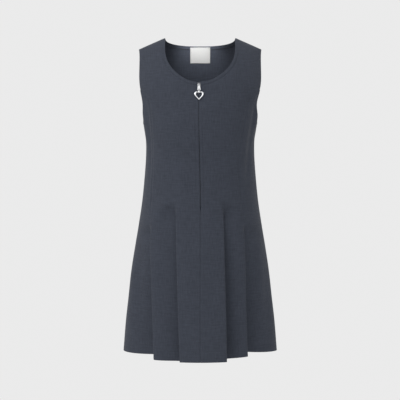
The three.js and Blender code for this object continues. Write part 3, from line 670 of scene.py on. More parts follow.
class FrontCutter:
    """Lays out the front and the side front of one hand."""

    def __init__(self, hand: Hand) -> None:
        """Keep the hand that is laid out."""
        self.hand = hand
        count = round((HEM - SKIRT_TOP) / GRAIN.row)
        self.levels = np.linspace(HEM, SKIRT_TOP, count + 1)

    def corners(self, below: float, whole: float, length_of: Callable[[float], float]) -> Array:
        """One row of the skirt as corners: distance along, depth behind the surface and rise."""
        inner_line = length_of(float(self.hand.lines.at("inner", below)))
        outer_line = length_of(float(self.hand.lines.at("outer", below)))
        inner_pleat, outer_pleat = self.hand.inner, self.hand.outer
        inner = inner_pleat.corners(inner_line, below, GRAIN.bend, GRAIN.layer)
        outer = outer_pleat.corners(outer_line, below, GRAIN.bend, GRAIN.layer)
        start = np.array([float(centre_half_gap(below)), 0.0])
        side = np.array([whole, 0.0])
        stretches = (
            (self.between(start, inner[0], GRAIN.centre_panel), inner_pleat.rise_before,
             inner_pleat.rise_before),
            (inner[:-1], inner_pleat.rise_before, inner_pleat.rise_after),
            (self.between(inner[-1], outer[0], GRAIN.side_panel), inner_pleat.rise_after,
             outer_pleat.rise_before),
            (outer[:-1], outer_pleat.rise_before, outer_pleat.rise_after),
            (self.between(outer[-1], side, GRAIN.outer_panel), outer_pleat.rise_after, 0.0),
        )
        rows = [
            np.column_stack([stretch, mix(low, high, np.arange(len(stretch)) / len(stretch))])
            for stretch, low, high in stretches
        ]
        return np.vstack([*rows, [*side, 0.0]])

    @staticmethod
    def between(start: Array, end: Array, cells: int) -> Array:
        """Corners from start up to, but not at, end, with the depth eased."""
        share = np.arange(cells) / cells
        return np.column_stack([mix(start[0], end[0], share), mix(start[1], end[1], ease(share))])

    def skirt(self) -> dict[str, Array]:
        """All rows of the skirt, from the hem up, as one grid from the centre to the side seam."""
        grid: dict[str, list[Array]] = {"turn": [], "below": [], "sink": [], "heading": [], "along": []}
        for below in self.levels:
            turns, lengths = Form.section(below, FRONT)
            corners = self.corners(
                below, lengths[-1],
                lambda x: float(np.interp(Form.turn_of(x, below), turns, lengths)),
            )
            steps = np.diff(corners[:, :2], axis=0)
            headings = np.arctan2(steps[:, 1], steps[:, 0])
            headings = np.concatenate([headings[:1], (headings[1:] + headings[:-1]) / 2, headings[-1:]])
            spread = ease((340 - below) / (340 - 235))
            along = corners[:, 0].copy()
            for part in (slice(0, GRAIN.seam + 1), slice(GRAIN.seam, None)):
                even = np.linspace(along[part][0], along[part][-1], len(along[part]))
                along[part] = mix(along[part], even, spread)
            fall = (max(0.0, below - 450) / (HEM - 450)) ** 2
            grid["turn"].append(np.interp(along, lengths, turns))
            grid["below"].append(below - corners[:, 2] * fall)
            grid["sink"].append(corners[:, 1])
            grid["heading"].append(headings)
            grid["along"].append(along)
        return {name: np.array(rows) for name, rows in grid.items()}

    def seam_path(self, share: Array) -> tuple[Array, Array]:
        """The seam's turn and height, from the skirt's top at 0 to the armhole at 1."""
        rows = [
            (place, float(Form.turn_of(self.hand.lines.at("outer", below), below)), below)
            for place, below in SEAM_STEPS
        ]
        turn, below = armhole(SEAM_SHARE, FRONT)
        path = Curves("turn below", [*rows, (1.0, float(turn), float(below))])
        return path.at("turn", share), path.at("below", share)

    def panel(self, lower: dict[str, Array], columns: slice, turn: Array, below: Array,
              ridge: Array | None = None) -> Panel:
        """Join the skirt rows of some columns and the rows above them into a panel."""
        upper = {
            "turn": turn, "below": below, "sink": np.zeros_like(turn),
            "heading": np.zeros_like(turn), "along": Form.along_of(turn, below, FRONT),
        }
        grids = {name: np.vstack([lower[name][:, columns], upper[name]]) for name in upper}
        on_ridge = np.zeros(grids["turn"].shape, bool)
        if ridge is not None:
            on_ridge[-1] = ridge
        return Panel(
            half=FRONT, hand=np.array(float(self.hand.sign)), ridge=on_ridge,
            relief=np.zeros(on_ridge.shape), **grids,
        )

    def cut(self) -> tuple[Panel, Panel]:
        """The front and the side front."""
        skirt = self.skirt()
        front, side = slice(0, GRAIN.seam + 1), slice(GRAIN.seam, None)
        t = (np.arange(GRAIN.upper_rows) + 1) / GRAIN.upper_rows
        v = climb(t)
        top_turn, top_below, ridge = top_edge(GRAIN.seam, FRONT)
        centre_below = mix(SKIRT_TOP, CUT.front_drop, v)
        centre_turn = Form.turn_of(centre_half_gap(centre_below), centre_below)
        centre_turn[-1] = top_turn[0]
        centre_below[-1] = top_below[0]
        seam = self.seam_path(np.clip(t * 2, 0, 1))
        arm = armhole(mix(SEAM_SHARE, 1, np.clip(t * 2 - 1, 0, 1)), FRONT)
        right = [np.where(t <= 0.5, low, high) for low, high in zip(seam, arm)]
        bottom = (skirt["turn"][-1, front], skirt["below"][-1, front])
        rows = FRONT_BLEND.rows(
            bottom, (centre_turn, centre_below), tuple(right), (top_turn, top_below), v)
        front_panel = self.panel(skirt, front, *rows, ridge)

        t = (np.arange(GRAIN.upper_rows // 2) + 1) / (GRAIN.upper_rows // 2)
        v = climb(t)
        seam = self.seam_path(t)
        columns = GRAIN.bend + GRAIN.layer + GRAIN.outer_panel
        arm = armhole(np.linspace(SEAM_SHARE, 0, columns + 1), FRONT)
        side_edge = (np.ones_like(t), mix(SKIRT_TOP, CUT.underarm, t))
        bottom = (skirt["turn"][-1, side], skirt["below"][-1, side])
        rows = SIDE_BLEND.rows(bottom, seam, side_edge, arm, v)
        return front_panel, self.panel(skirt, side, *rows)


def cut_back() -> Panel:
    """The whole back, from the right side seam to the left one."""
    levels = np.linspace(HEM, SKIRT_TOP, round((HEM - SKIRT_TOP) / GRAIN.back_row) + 1)
    shares = np.append(np.linspace(0, 0.985, GRAIN.back_half - 1), [0.993, 1.0])
    turn, along = [], []
    for below in levels:
        turns, lengths = Form.section(below, BACK)
        along.append(shares * lengths[-1])
        turn.append(np.interp(along[-1], lengths, turns))
    below = np.repeat(levels[:, None], len(shares), axis=1)
    t = (np.arange(GRAIN.upper_rows) + 1) / GRAIN.upper_rows
    v = climb(t)
    arm = armhole(np.clip((t - UNDERARM_SHARE) / (1 - UNDERARM_SHARE), 0, 1), BACK)
    side_below = mix(SKIRT_TOP, CUT.underarm, np.clip(t / UNDERARM_SHARE, 0, 1))
    top_turn, top_below, ridge = top_edge(len(shares) - 1, BACK)
    side = [np.where(t <= UNDERARM_SHARE, low, high) for low, high in zip((1.0, side_below), arm)]
    centre = (np.zeros_like(t), mix(SKIRT_TOP, CUT.back_drop, v))
    upper_turn, upper_below = BACK_BLEND.rows(
        (turn[-1], below[-1]), centre, tuple(side), (top_turn, top_below), v)
    turn = np.vstack([turn, upper_turn])
    below = np.vstack([below, upper_below])
    along = np.vstack([along, Form.along_of(upper_turn, upper_below, BACK)])
    on_ridge = np.zeros(turn.shape, bool)
    on_ridge[-1] = ridge
    both = [np.hstack([grid[:, :0:-1], grid]) for grid in (turn, below, along, on_ridge)]
    hand = np.concatenate([-np.ones(len(shares) - 1), np.ones(len(shares))])
    nothing = np.zeros(both[0].shape)
    return Panel(half=BACK, hand=hand, turn=both[0], below=both[1], sink=nothing, heading=nothing,
                 along=both[2], ridge=both[3], relief=nothing)


@dataclass(frozen=True)
class Pressing:
    """A strip along an edge that sewing or ironing raises, or presses in if its lift is negative."""

    near: float
    far: float
    lift: float
    soft: float = 1.2

    def relief(self, distance: Array) -> Array:
        """How far the strip moves each place outwards, by its distance from the edge."""
        start = ease((distance - self.near) / self.soft + 0.5)
        return self.lift * start * (1 - ease((distance - self.far) / self.soft + 0.5))


SEAM_DIP = Pressing(-9, 1.0, -0.75, 3.2)
SEAM_RIDGE = Pressing(2.2, 7.5, 0.22, 2.4)
ZIP_ROUND = Pressing(-9, 0.4, -0.7, 2.4)
ZIP_GROOVE = Pressing(5.7, 7.1, -0.75, 1.6)
NECK_ROLL = Pressing(-9, 5.2, 0.55, 1.8)
NECK_GROOVE = Pressing(5.9, 7.3, -0.7, 1.5)
HEM_GROOVE = Pressing(20.3, 21.7, -0.35, 2.0)
ARM_ROLL = Pressing(-9, 3.2, 0.4, 2.0)
FRONT_ARM_LINES = slice(-1 - GRAIN.upper_rows // 2, None)
BACK_ARM_LINES = slice(-1 - round(GRAIN.upper_rows * (1 - UNDERARM_SHARE)), None)


class Dresser:
    """Presses the seams, edges and creases into the panels."""

    @staticmethod
    def side_seam(panel: Panel, edge: Edge, below_from: float, below_to: float = HEM + 9) -> Array:
        """The dip and the pressed-open allowance of a seam up a side of the panel."""
        distance = panel.distance(edge)
        shown = ease((panel.below - below_from) / 8 + 0.5) * ease((below_to - panel.below) / 30 + 0.5)
        return (SEAM_DIP.relief(distance) + SEAM_RIDGE.relief(distance)) * shown

    @staticmethod
    def top(panel: Panel, first: int, last: int) -> Array:
        """The neck edge between two columns and the shoulder seams outside them."""
        neck = panel.distance(Edge.TOP, slice(first, last + 1))
        relief = NECK_ROLL.relief(neck) + NECK_GROOVE.relief(neck)
        for shoulder in (slice(0, first + 1), slice(last, None)):
            if len(panel.below[-1, shoulder]) > 1:
                distance = panel.distance(Edge.TOP, shoulder)
                relief = relief * ease(distance / 9) + SEAM_DIP.relief(distance) * ease((neck - 3) / 6)
        return relief

    @staticmethod
    def armhole(panel: Panel, edge: Edge, lines: slice = slice(None)) -> Array:
        """The roll of an armhole edge."""
        return ARM_ROLL.relief(panel.distance(edge, lines))

    @classmethod
    def front(cls, panel: Panel) -> None:
        """Finish a front: zip, neck, shoulder, princess seam and hem."""
        distance = panel.distance(Edge.FIRST)
        zipped = ease((CUT.zip_end + 3 - panel.below) / 3)
        bar = Pressing(CUT.zip_end + 2.2, CUT.zip_end + 3.4, -0.4, 1.6).relief(panel.below)
        stitched = ZIP_GROOVE.relief(distance) * zipped + bar * (distance < 6.6)
        plain = SEAM_DIP.relief(distance) * (1 - zipped)
        panel.relief = (
            panel.relief + ZIP_ROUND.relief(distance) * zipped + stitched + plain
            + cls.side_seam(panel, Edge.LAST, CUT.seam_meets, 372)
            + cls.top(panel, 0, corner_column(GRAIN.seam, FRONT))
            + cls.armhole(panel, Edge.LAST, FRONT_ARM_LINES)
            + HEM_GROOVE.relief(panel.distance(Edge.HEM)) * (panel.below > 600)
        )
        panel.crease(FRONT_CREASES)

    @classmethod
    def side_front(cls, panel: Panel) -> None:
        """Finish a side front: both seams, the armhole and the hem."""
        panel.relief = (
            panel.relief + cls.side_seam(panel, Edge.FIRST, 0, 372)
            + cls.side_seam(panel, Edge.LAST, CUT.underarm)
            + cls.armhole(panel, Edge.TOP)
            + HEM_GROOVE.relief(panel.distance(Edge.HEM)) * (panel.below > 600)
        )
        panel.crease(FRONT_CREASES)

    @classmethod
    def back(cls, panel: Panel) -> None:
        """Finish the back: both side seams, the neck, the shoulders and the hem."""
        middle = GRAIN.back_half
        corner = corner_column(middle, BACK)
        panel.relief = (
            panel.relief + cls.side_seam(panel, Edge.FIRST, CUT.underarm)
            + cls.side_seam(panel, Edge.LAST, CUT.underarm)
            + cls.armhole(panel, Edge.FIRST, BACK_ARM_LINES)
            + cls.armhole(panel, Edge.LAST, BACK_ARM_LINES)
            + cls.top(panel, middle - corner, middle + corner)
            + HEM_GROOVE.relief(panel.distance(Edge.HEM)) * (panel.below > 600)
        )
        panel.crease(BACK_CREASES)


class MeshMaker:
    """Collects grids, lofts and small repeated shapes in one mesh.

    Each vertex keeps its place in the weave, in metres, in an attribute of that name.
    """

    def __init__(self) -> None:
        """Start an empty mesh."""
        self.bm = bmesh.new()
        self.weave = self.bm.verts.layers.float_vector.new("weave")

    def grid(self, points: Array, weave: Array, flipped: bool) -> list[list[bmesh.types.BMVert]]:
        """Add a sheet of quads.

        Args:
            points: the places, in millimetres, by row and column.
            weave: each place in the weave, in millimetres.
            flipped: whether the faces look the other way.

        Returns:
            The vertices by row and column.
        """
        rows, columns = points.shape[:2]
        made = bmesh.ops.create_grid(
            self.bm, x_segments=columns - 1, y_segments=rows - 1, size=1.0)["verts"]
        verts = [[made[0]] * columns for _ in range(rows)]
        for vert in made:
            row = round((vert.co.y + 1) / 2 * (rows - 1))
            column = round((vert.co.x + 1) / 2 * (columns - 1))
            vert.co = points[row, column] * MM
            vert[self.weave] = (*(weave[row, column] * MM), 0.0)
            verts[row][column] = vert
        if flipped:
            faces = {face for vert in made for face in vert.link_faces}
            bmesh.ops.reverse_faces(self.bm, faces=list(faces))
        return verts

    def sheet(self, points: Array, normals: Array, weave: Array, thickness: float) -> None:
        """Add a closed sheet of cloth on a middle surface."""
        across = points[0, 1] - points[0, 0]
        up = points[1, 0] - points[0, 0]
        flipped = float(np.dot(np.cross(across, up), normals[0, 0])) < 0
        outer = self.grid(points + normals * thickness / 2, weave, flipped)
        inner = self.grid(points - normals * thickness / 2, weave, not flipped)
        rim = [self.border(side) for side in (outer, inner)]
        for index in range(len(rim[0])):
            following = (index + 1) % len(rim[0])
            corners = (rim[0][index], rim[0][following], rim[1][following], rim[1][index])
            face = self.bm.faces.new(corners if flipped else corners[::-1])
            for edge in (self.bm.edges.get(corners[:2]), self.bm.edges.get(corners[2:])):
                edge.smooth = False
            face.smooth = True

    @staticmethod
    def border(verts: list[list[bmesh.types.BMVert]]) -> list[bmesh.types.BMVert]:
        """The vertices round a grid."""
        right = [row[-1] for row in verts[1:-1]]
        left = [row[0] for row in verts[1:-1]]
        return [*verts[0], *right, *verts[-1][::-1], *left[::-1]]

    def loft(self, rings: Array, closed: bool = False) -> None:
        """Add a tube through rings of points.

        Args:
            rings: points in millimetres, by ring and place round it.
            closed: whether the last ring joins the first; if not, the ends are capped.
        """
        count, around = rings.shape[:2]
        ring_steps = np.linalg.norm(np.diff(rings.mean(axis=1), axis=0), axis=1)
        run = np.concatenate([[0], np.cumsum(ring_steps)])
        girth = np.linalg.norm(np.diff(rings[0], axis=0), axis=1)
        turn = np.concatenate([[0], np.cumsum(girth)])
        verts = []
        for ring, along in zip(rings, run):
            row = [self.bm.verts.new(point * MM) for point in ring]
            for vert, place in zip(row, turn):
                vert[self.weave] = (along * MM, place * MM, 0.0)
            verts.append(row)
        faces = []
        for index in range(count if closed else count - 1):
            low, high = verts[index], verts[(index + 1) % count]
            for place in range(around):
                beside = (place + 1) % around
                faces.append(self.bm.faces.new((low[place], low[beside], high[beside], high[place])))
        if not closed:
            faces.append(self.bm.faces.new(verts[0][::-1]))
            faces.append(self.bm.faces.new(verts[-1]))
        bmesh.ops.recalc_face_normals(self.bm, faces=faces)

    def scatter(self, template: bmesh.types.BMesh, places: Array) -> None:
        """Add copies of a small shape.

        Args:
            template: the shape, in millimetres.
            places: a 4 x 4 matrix, in millimetres, for each copy.
        """
        corners = np.array([[*vert.co, 1.0] for vert in template.verts])
        faces = [[vert.index for vert in face.verts] for face in template.faces]
        for points in np.einsum("nij,vj->nvi", places, corners)[..., :3]:
            row = [self.bm.verts.new(point * MM) for point in points]
            for vert, point in zip(row, points):
                vert[self.weave] = (point[0] * MM, point[2] * MM, 0.0)
            for face in faces:
                self.bm.faces.new([row[index] for index in face])

    def build(self, name: str, finish: bpy.types.Material, body: str = DRESS) -> bpy.types.Object:
        """Make an object of all that was added.

        Args:
            name: the object's name.
            finish: its material.
            body: the body that it rides on.

        Returns:
            The object, linked to the scene.
        """
        for face in self.bm.faces:
            face.smooth = True
        mesh = bpy.data.meshes.new(name)
        self.bm.to_mesh(mesh)
        self.bm.free()
        mesh.materials.append(finish)
        made = bpy.data.objects.new(name, mesh)
        bpy.context.scene.collection.objects.link(made)
        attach(made, body)
        log.info("%s: %d faces", name, len(mesh.polygons))
        return made


@dataclass(frozen=True)
class TurnedEdge:
    """Cloth turned in along an edge: a round fold and a leg that lies behind the cloth."""

    leg: float = 8.0
    leg_thickness: float = 0.6
    fold: float = 0.75
    fold_cells: int = 6
    leg_cells: int = 4

    def profile(self) -> list[tuple[float, float]]:
        """The closed outline: distance into the cloth and height above its middle surface."""
        top, low = CUT.cloth / 2 + 0.06, -CUT.cloth / 2 - self.leg_thickness
        middle, half = (top + low) / 2, (top - low) / 2
        angles = np.linspace(0, math.pi, self.fold_cells + 1)
        cap = [(-self.fold * math.sin(a), middle + half * math.cos(a)) for a in angles]
        legs = np.linspace(0, self.leg, self.leg_cells + 1)[1:]
        behind = -CUT.cloth / 2 + 0.05
        return [
            (1.2, top - 0.1), *cap, *((leg, low) for leg in legs),
            *((leg, behind) for leg in legs[::-1]), (1.2, behind),
        ]

    def add(self, maker: MeshMaker, panel: Panel, edge: Edge, lines: slice = slice(None)) -> None:
        """Add the turned edge along some lines of a panel's edge."""
        start, normal = panel.border(edge, lines)
        inner, _ = panel.line_at(edge, 2.0, lines)
        into = unit(inner - start)
        ring = []
        for distance, height in self.profile():
            if distance > 0:
                base, up = panel.line_at(edge, distance, lines)
                ring.append(base + up * height)
            else:
                ring.append(start + into * distance + normal * height)
        maker.loft(np.stack(ring, axis=1))


SEAM_ALLOWANCE = TurnedEdge(leg=10.0, fold=0.12)


@dataclass(frozen=True)
class Stitching:
    """A row of machine stitches, sunk a little in the cloth."""

    pitch: float = 2.9
    length: float = 2.1
    width: float = 0.42
    rise: float = 0.36

    def add(self, maker: MeshMaker, points: Array, normals: Array) -> None:
        """Add stitches along a line on the cloth's middle surface."""
        run = np.concatenate([[0], np.cumsum(np.linalg.norm(np.diff(points, axis=0), axis=1))])
        if run[-1] < 2 * self.pitch:
            return
        middles = np.arange(self.pitch / 2, run[-1] - self.pitch / 2, self.pitch)

        def read(table: Array, where: Array) -> Array:
            return np.stack([np.interp(where, run, table[:, axis]) for axis in range(3)], axis=1)

        along = unit(read(points, middles + 0.5) - read(points, middles - 0.5))
        up = unit(read(normals, middles))
        side = unit(np.cross(up, along))
        centre = read(points, middles) + up * (CUT.cloth / 2 + 0.02)
        places = np.zeros((len(middles), 4, 4))
        places[:, :3, 0] = along * self.length / 2
        places[:, :3, 1] = side * self.width / 2
        places[:, :3, 2] = up * self.rise / 2
        places[:, :3, 3] = centre
        places[:, 3, 3] = 1
        maker.scatter(bead(), places)


def bead() -> bmesh.types.BMesh:
    """A ball one long in radius, of a few faces."""
    ball = bmesh.new()
    bmesh.ops.create_uvsphere(ball, u_segments=6, v_segments=4, radius=1.0)
    ball.verts.index_update()
    return ball


class Shader:
    """Adds nodes to a node tree and links them."""

    def __init__(self, tree: bpy.types.NodeTree) -> None:
        """Keep the tree, emptied."""
        self.tree = tree
        tree.nodes.clear()

    def add(self, kind: str, **values: object) -> bpy.types.Node:
        """Add a node; a value named after an input goes to that input, any other to the node."""
        node = self.tree.nodes.new(f"ShaderNode{kind}")
        for name, value in values.items():
            title = name.replace("_", " ").title()
            if hasattr(node, name):
                setattr(node, name, value)
            else:
                node.inputs[title].default_value = value
        return node

    def link(self, source: bpy.types.NodeSocket, target: bpy.types.NodeSocket) -> None:
        """Link two sockets."""
        self.tree.links.new(source, target)

    def math(self, operation: str, first: object, second: object = 0.0) -> bpy.types.NodeSocket:
        """Add a sum of two sockets or numbers and give its result."""
        node = self.tree.nodes.new("ShaderNodeMath")
        node.operation = operation
        for socket, value in zip(node.inputs, (first, second)):
            if isinstance(value, (int, float)):
                socket.default_value = value
            else:
                self.link(value, socket)
        return node.outputs[0]

    def noise(self, place: bpy.types.NodeSocket, scale: float, detail: float = 2.0) -> bpy.types.NodeSocket:
        """Add a noise that is read at a place, in metres, and give its value."""
        node = self.add("TexNoise", scale=scale, detail=detail)
        self.link(place, node.inputs["Vector"])
        return node.outputs[0]


def twill_group() -> bpy.types.ShaderNodeTree:
    """A node group that gives the height and the tint of twill cloth at a place in the weave."""
    tree = bpy.data.node_groups.new("twill", "ShaderNodeTree")
    for title, size in (("Rib Pitch", 0.0009), ("Fleck", 0.06), ("Cloud", 0.05), ("Slub", 0.2)):
        socket = tree.interface.new_socket(title, in_out="INPUT", socket_type="NodeSocketFloat")
        socket.default_value = size
    for title in ("Height", "Tint"):
        tree.interface.new_socket(title, in_out="OUTPUT", socket_type="NodeSocketFloat")
    shader = Shader(tree)
    asked = tree.nodes.new("NodeGroupInput")
    given = tree.nodes.new("NodeGroupOutput")
    weave = shader.add("Attribute", attribute_name="weave").outputs["Vector"]
    parts = shader.add("SeparateXYZ")
    shader.link(weave, parts.inputs[0])
    turns = shader.math("DIVIDE", 2 * math.pi, asked.outputs["Rib Pitch"])
    rib = shader.math("SINE", shader.math("MULTIPLY", shader.math(
        "ADD", shader.math("MULTIPLY", parts.outputs[0], 0.9), parts.outputs[1]), turns))
    float_over = shader.math("SINE", shader.math("MULTIPLY", shader.math(
        "SUBTRACT", parts.outputs[0], shader.math("MULTIPLY", parts.outputs[1], 0.35)), turns))
    nap = shader.noise(weave, 2600.0, 3.0)
    height = shader.math("ADD", shader.math("MULTIPLY", rib, 0.5), shader.math("MULTIPLY", float_over, 0.2))
    shader.link(shader.math("ADD", height, nap), given.inputs["Height"])
    place = shader.add("TexCoord").outputs["Object"]
    fleck = shader.math("SUBTRACT", shader.noise(weave, 900.0, 2.0), 0.5)
    cloud = shader.math("SUBTRACT", shader.noise(place, 26.0, 3.0), 0.5)
    tint = shader.math("ADD", shader.math("MULTIPLY", fleck, asked.outputs["Fleck"]),
                       shader.math("MULTIPLY", cloud, asked.outputs["Cloud"]))
    tint = shader.math("ADD", tint, shader.math("MULTIPLY", rib, 0.02))
    for stretched in ((400.0, 60.0, 0.0), (50.0, 330.0, 0.0)):
        laid = shader.add("Mapping", vector_type="POINT")
        laid.inputs["Scale"].default_value = stretched
        shader.link(weave, laid.inputs["Vector"])
        slub = shader.math("SUBTRACT", shader.noise(laid.outputs[0], 1.0, 2.0), 0.5)
        tint = shader.math("ADD", tint, shader.math("MULTIPLY", slub, asked.outputs["Slub"]))
    shader.link(shader.math("ADD", tint, 1.0), given.inputs["Tint"])
    return tree


@dataclass(frozen=True)
class ClothFinish:
    """Woven cloth: its colour, its ribs and its nap."""

    name: str
    colour: tuple[float, float, float]
    rib_pitch: float = 0.0009
    fleck: float = 0.24
    cloud: float = 0.14
    slub: float = 0.42
    bump: float = 0.00012
    roughness: float = 0.86
    sheen: float = 0.12

    def material(self) -> bpy.types.Material:
        """Make the material."""
        made = bpy.data.materials.new(self.name)
        made.use_nodes = True
        shader = Shader(made.node_tree)
        surface = shader.add("BsdfPrincipled", roughness=self.roughness)
        surface.inputs["Sheen Weight"].default_value = self.sheen
        surface.inputs["Sheen Roughness"].default_value = 0.45
        surface.inputs["Specular IOR Level"].default_value = 0.25
        group = shader.tree.nodes.new("ShaderNodeGroup")
        group.node_tree = bpy.data.node_groups.get("twill") or twill_group()
        group.inputs["Rib Pitch"].default_value = self.rib_pitch
        group.inputs["Fleck"].default_value = self.fleck
        group.inputs["Cloud"].default_value = self.cloud
        group.inputs["Slub"].default_value = self.slub
        colour = shader.add("HueSaturation")
        colour.inputs["Color"].default_value = (*self.colour, 1.0)
        shader.link(group.outputs["Tint"], colour.inputs["Value"])
        shader.link(colour.outputs[0], surface.inputs["Base Color"])
        bump = shader.add("Bump", distance=self.bump, strength=0.8)
        shader.link(group.outputs["Height"], bump.inputs["Height"])
        shader.link(bump.outputs[0], surface.inputs["Normal"])
        output = shader.add("OutputMaterial")
        shader.link(surface.outputs[0], output.inputs[0])
        return made


@dataclass(frozen=True)
class MetalFinish:
    """Polished plate with a slight unevenness."""

    name: str
    colour: tuple[float, float, float]
    roughness: float = 0.16

    def material(self) -> bpy.types.Material:
        """Make the material."""
        made = bpy.data.materials.new(self.name)
        made.use_nodes = True
        shader = Shader(made.node_tree)
        surface = shader.add("BsdfPrincipled", metallic=1.0)
        surface.inputs["Base Color"].default_value = (*self.colour, 1.0)
        place = shader.add("TexCoord").outputs["Object"]
        worn = shader.math("MULTIPLY", shader.noise(place, 900.0, 3.0), 0.1)
        shader.link(shader.math("ADD", worn, self.roughness), surface.inputs["Roughness"])
        output = shader.add("OutputMaterial")
        shader.link(surface.outputs[0], output.inputs[0])
        return made


@dataclass(frozen=True)
class Finishes:
    """The finishes of all pieces."""

    cloth: ClothFinish = ClothFinish("blue_grey_twill", (0.067, 0.0765, 0.102))
    thread: ClothFinish = ClothFinish("sewing_thread", (0.075, 0.082, 0.108), 0.0003, 0.05, 0.0, 0.0)
    tape: ClothFinish = ClothFinish("zip_tape_weave", (0.050, 0.055, 0.066), 0.0006, 0.08, 0.02, 0.05)
    # The coil is coloured lighter than the tape: painted light that offsets the shade deep in the zip's slit.
    coil: ClothFinish = ClothFinish(
        "zip_coil", (0.075, 0.081, 0.094), 0.0004, 0.02, 0.0, 0.0, bump=0.0, roughness=0.4, sheen=0.0)
    label: ClothFinish = ClothFinish(
        "white_satin", (0.72, 0.72, 0.71), 0.0004, 0.04, 0.02, 0.03, bump=0.00004, roughness=0.4,
        sheen=0.05)
    metal: MetalFinish = MetalFinish("bright_nickel", (0.80, 0.81, 0.83))
    # The slider is coloured far darker than the tab and the heart.
    slider: MetalFinish = MetalFinish("dark_nickel", (0.13, 0.135, 0.15), 0.3)


@dataclass(frozen=True)
class FlatCut:
    """The size that a sheet was cut to, in metres and square metres."""

    width: float
    length: float
    area: float


class Garment:
    """Cuts, sews and trims the dress."""

    def __init__(self) -> None:
        """Lay out all cloth panels."""
        finishes = Finishes()
        self.cloth = finishes.cloth.material()
        self.thread = finishes.thread.material()
        self.tape = finishes.tape.material()
        self.coil = finishes.coil.material()
        self.satin = finishes.label.material()
        self.metal = finishes.metal.material()
        self.darkened_metal = finishes.slider.material()
        self.panels: dict[str, Panel] = {}
        for hand in HANDS:
            front, side = FrontCutter(hand).cut()
            Dresser.front(front)
            Dresser.side_front(side)
            self.panels[f"front_{hand.name}"] = front
            self.panels[f"side_front_{hand.name}"] = side
        self.panels["back"] = cut_back()
        Dresser.back(self.panels["back"])

    @staticmethod
    def weave_of(panel: Panel) -> Array:
        """Each place of the panel in the weave, in millimetres."""
        return np.stack([panel.along * panel.hand, -panel.below], axis=-1)

    def sheet(self, name: str, panel: Panel, thickness: float, finish: bpy.types.Material
              ) -> bpy.types.Object:
        """Make a panel's cloth."""
        points, normals = panel.surface()
        maker = MeshMaker()
        maker.sheet(points, normals, self.weave_of(panel), thickness)
        return maker.build(name, finish)

    def edges(self, name: str) -> bpy.types.Object:
        """Make the turned edges of a panel: hem, neck, armholes and zip."""
        panel = self.panels[name]
        maker = MeshMaker()
        TurnedEdge(leg=21.0, leg_cells=5).add(maker, panel, Edge.HEM)
        columns = panel.turn.shape[1] - 1
        middle = GRAIN.back_half
        if name.startswith("front"):
            TurnedEdge().add(maker, panel, Edge.TOP, slice(0, corner_column(columns, FRONT) + 1))
            TurnedEdge().add(maker, panel, Edge.LAST, FRONT_ARM_LINES)
            end = int(np.argmax(panel.below[:, 0] < CUT.zip_end + 2))
            TurnedEdge(leg=9.0, fold=0.8).add(maker, panel, Edge.FIRST, slice(end, None))
            SEAM_ALLOWANCE.add(maker, panel, Edge.FIRST, slice(0, end + 1))
            SEAM_ALLOWANCE.add(maker, panel, Edge.TOP, slice(corner_column(columns, FRONT), None))
            SEAM_ALLOWANCE.add(maker, panel, Edge.LAST, self.plain_rows(panel, -1, CUT.seam_meets))
        elif name.startswith("side"):
            TurnedEdge().add(maker, panel, Edge.TOP)
            SEAM_ALLOWANCE.add(maker, panel, Edge.FIRST, self.plain_rows(panel, 0, CUT.seam_meets))
            SEAM_ALLOWANCE.add(maker, panel, Edge.LAST)
        else:
            corner = corner_column(middle, BACK)
            TurnedEdge().add(maker, panel, Edge.TOP, slice(middle - corner, middle + corner + 1))
            for edge in (Edge.FIRST, Edge.LAST):
                TurnedEdge().add(maker, panel, edge, BACK_ARM_LINES)
                SEAM_ALLOWANCE.add(maker, panel, edge, slice(0, BACK_ARM_LINES.start + 1))
            SEAM_ALLOWANCE.add(maker, panel, Edge.TOP, slice(0, middle - corner + 1))
            SEAM_ALLOWANCE.add(maker, panel, Edge.TOP, slice(middle + corner, None))
        return maker.build(f"turned_edges_{name}", self.cloth)

    @staticmethod
    def plain_rows(panel: Panel, column: int, top: float) -> slice:
        """The rows of a side edge above the pleats and up to a height."""
        below = panel.below[:, column]
        return slice(int(np.argmax(below < 340)), int(np.argmax(below <= top + 1)) + 1)

    def stitches(self, name: str) -> bpy.types.Object:
        """Make the topstitching of a panel: hem, neck and zip."""
        panel = self.panels[name]
        maker = MeshMaker()
        stitching = Stitching()
        stitching.add(maker, *panel.line_at(Edge.HEM, 21.0))
        columns = panel.turn.shape[1] - 1
        middle = GRAIN.back_half
        if name.startswith("front"):
            neck = slice(2, corner_column(columns, FRONT) + 1)
            stitching.add(maker, *panel.line_at(Edge.TOP, 6.6, neck))
            zipped = slice(int(np.argmax(panel.below[:, 0] < CUT.zip_end + 2)), -1)
            stitching.add(maker, *panel.line_at(Edge.FIRST, 6.4, zipped))
        elif name == "back":
            corner = corner_column(middle, BACK)
            neck = slice(middle - corner, middle + corner + 1)
            stitching.add(maker, *panel.line_at(Edge.TOP, 6.6, neck))
        return maker.build(f"stitches_{name}", self.thread)

    def sew(self) -> None:
        """Make all cloth pieces with their edges and stitches."""
        for name, panel in self.panels.items():
            cloth = self.sheet(f"cloth_{name}", panel, CUT.cloth, self.cloth)
            trims = [self.edges(name), self.stitches(name)]
            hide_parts(name)

    @staticmethod
    def strip(half: Half, across: Array, below: Array, behind: float) -> Panel:
        """A panel that lies behind the form, between places across and heights."""
        x, height = np.meshgrid(across, below)
        turn = Form.turn_of(np.abs(x), height)
        nothing = np.zeros(x.shape)
        return Panel(
            half=half, hand=np.where(x < 0, -1.0, 1.0), turn=turn, below=height,
            sink=nothing + behind, heading=nothing, along=np.abs(x), ridge=np.zeros(x.shape, bool),
            relief=nothing,
        )


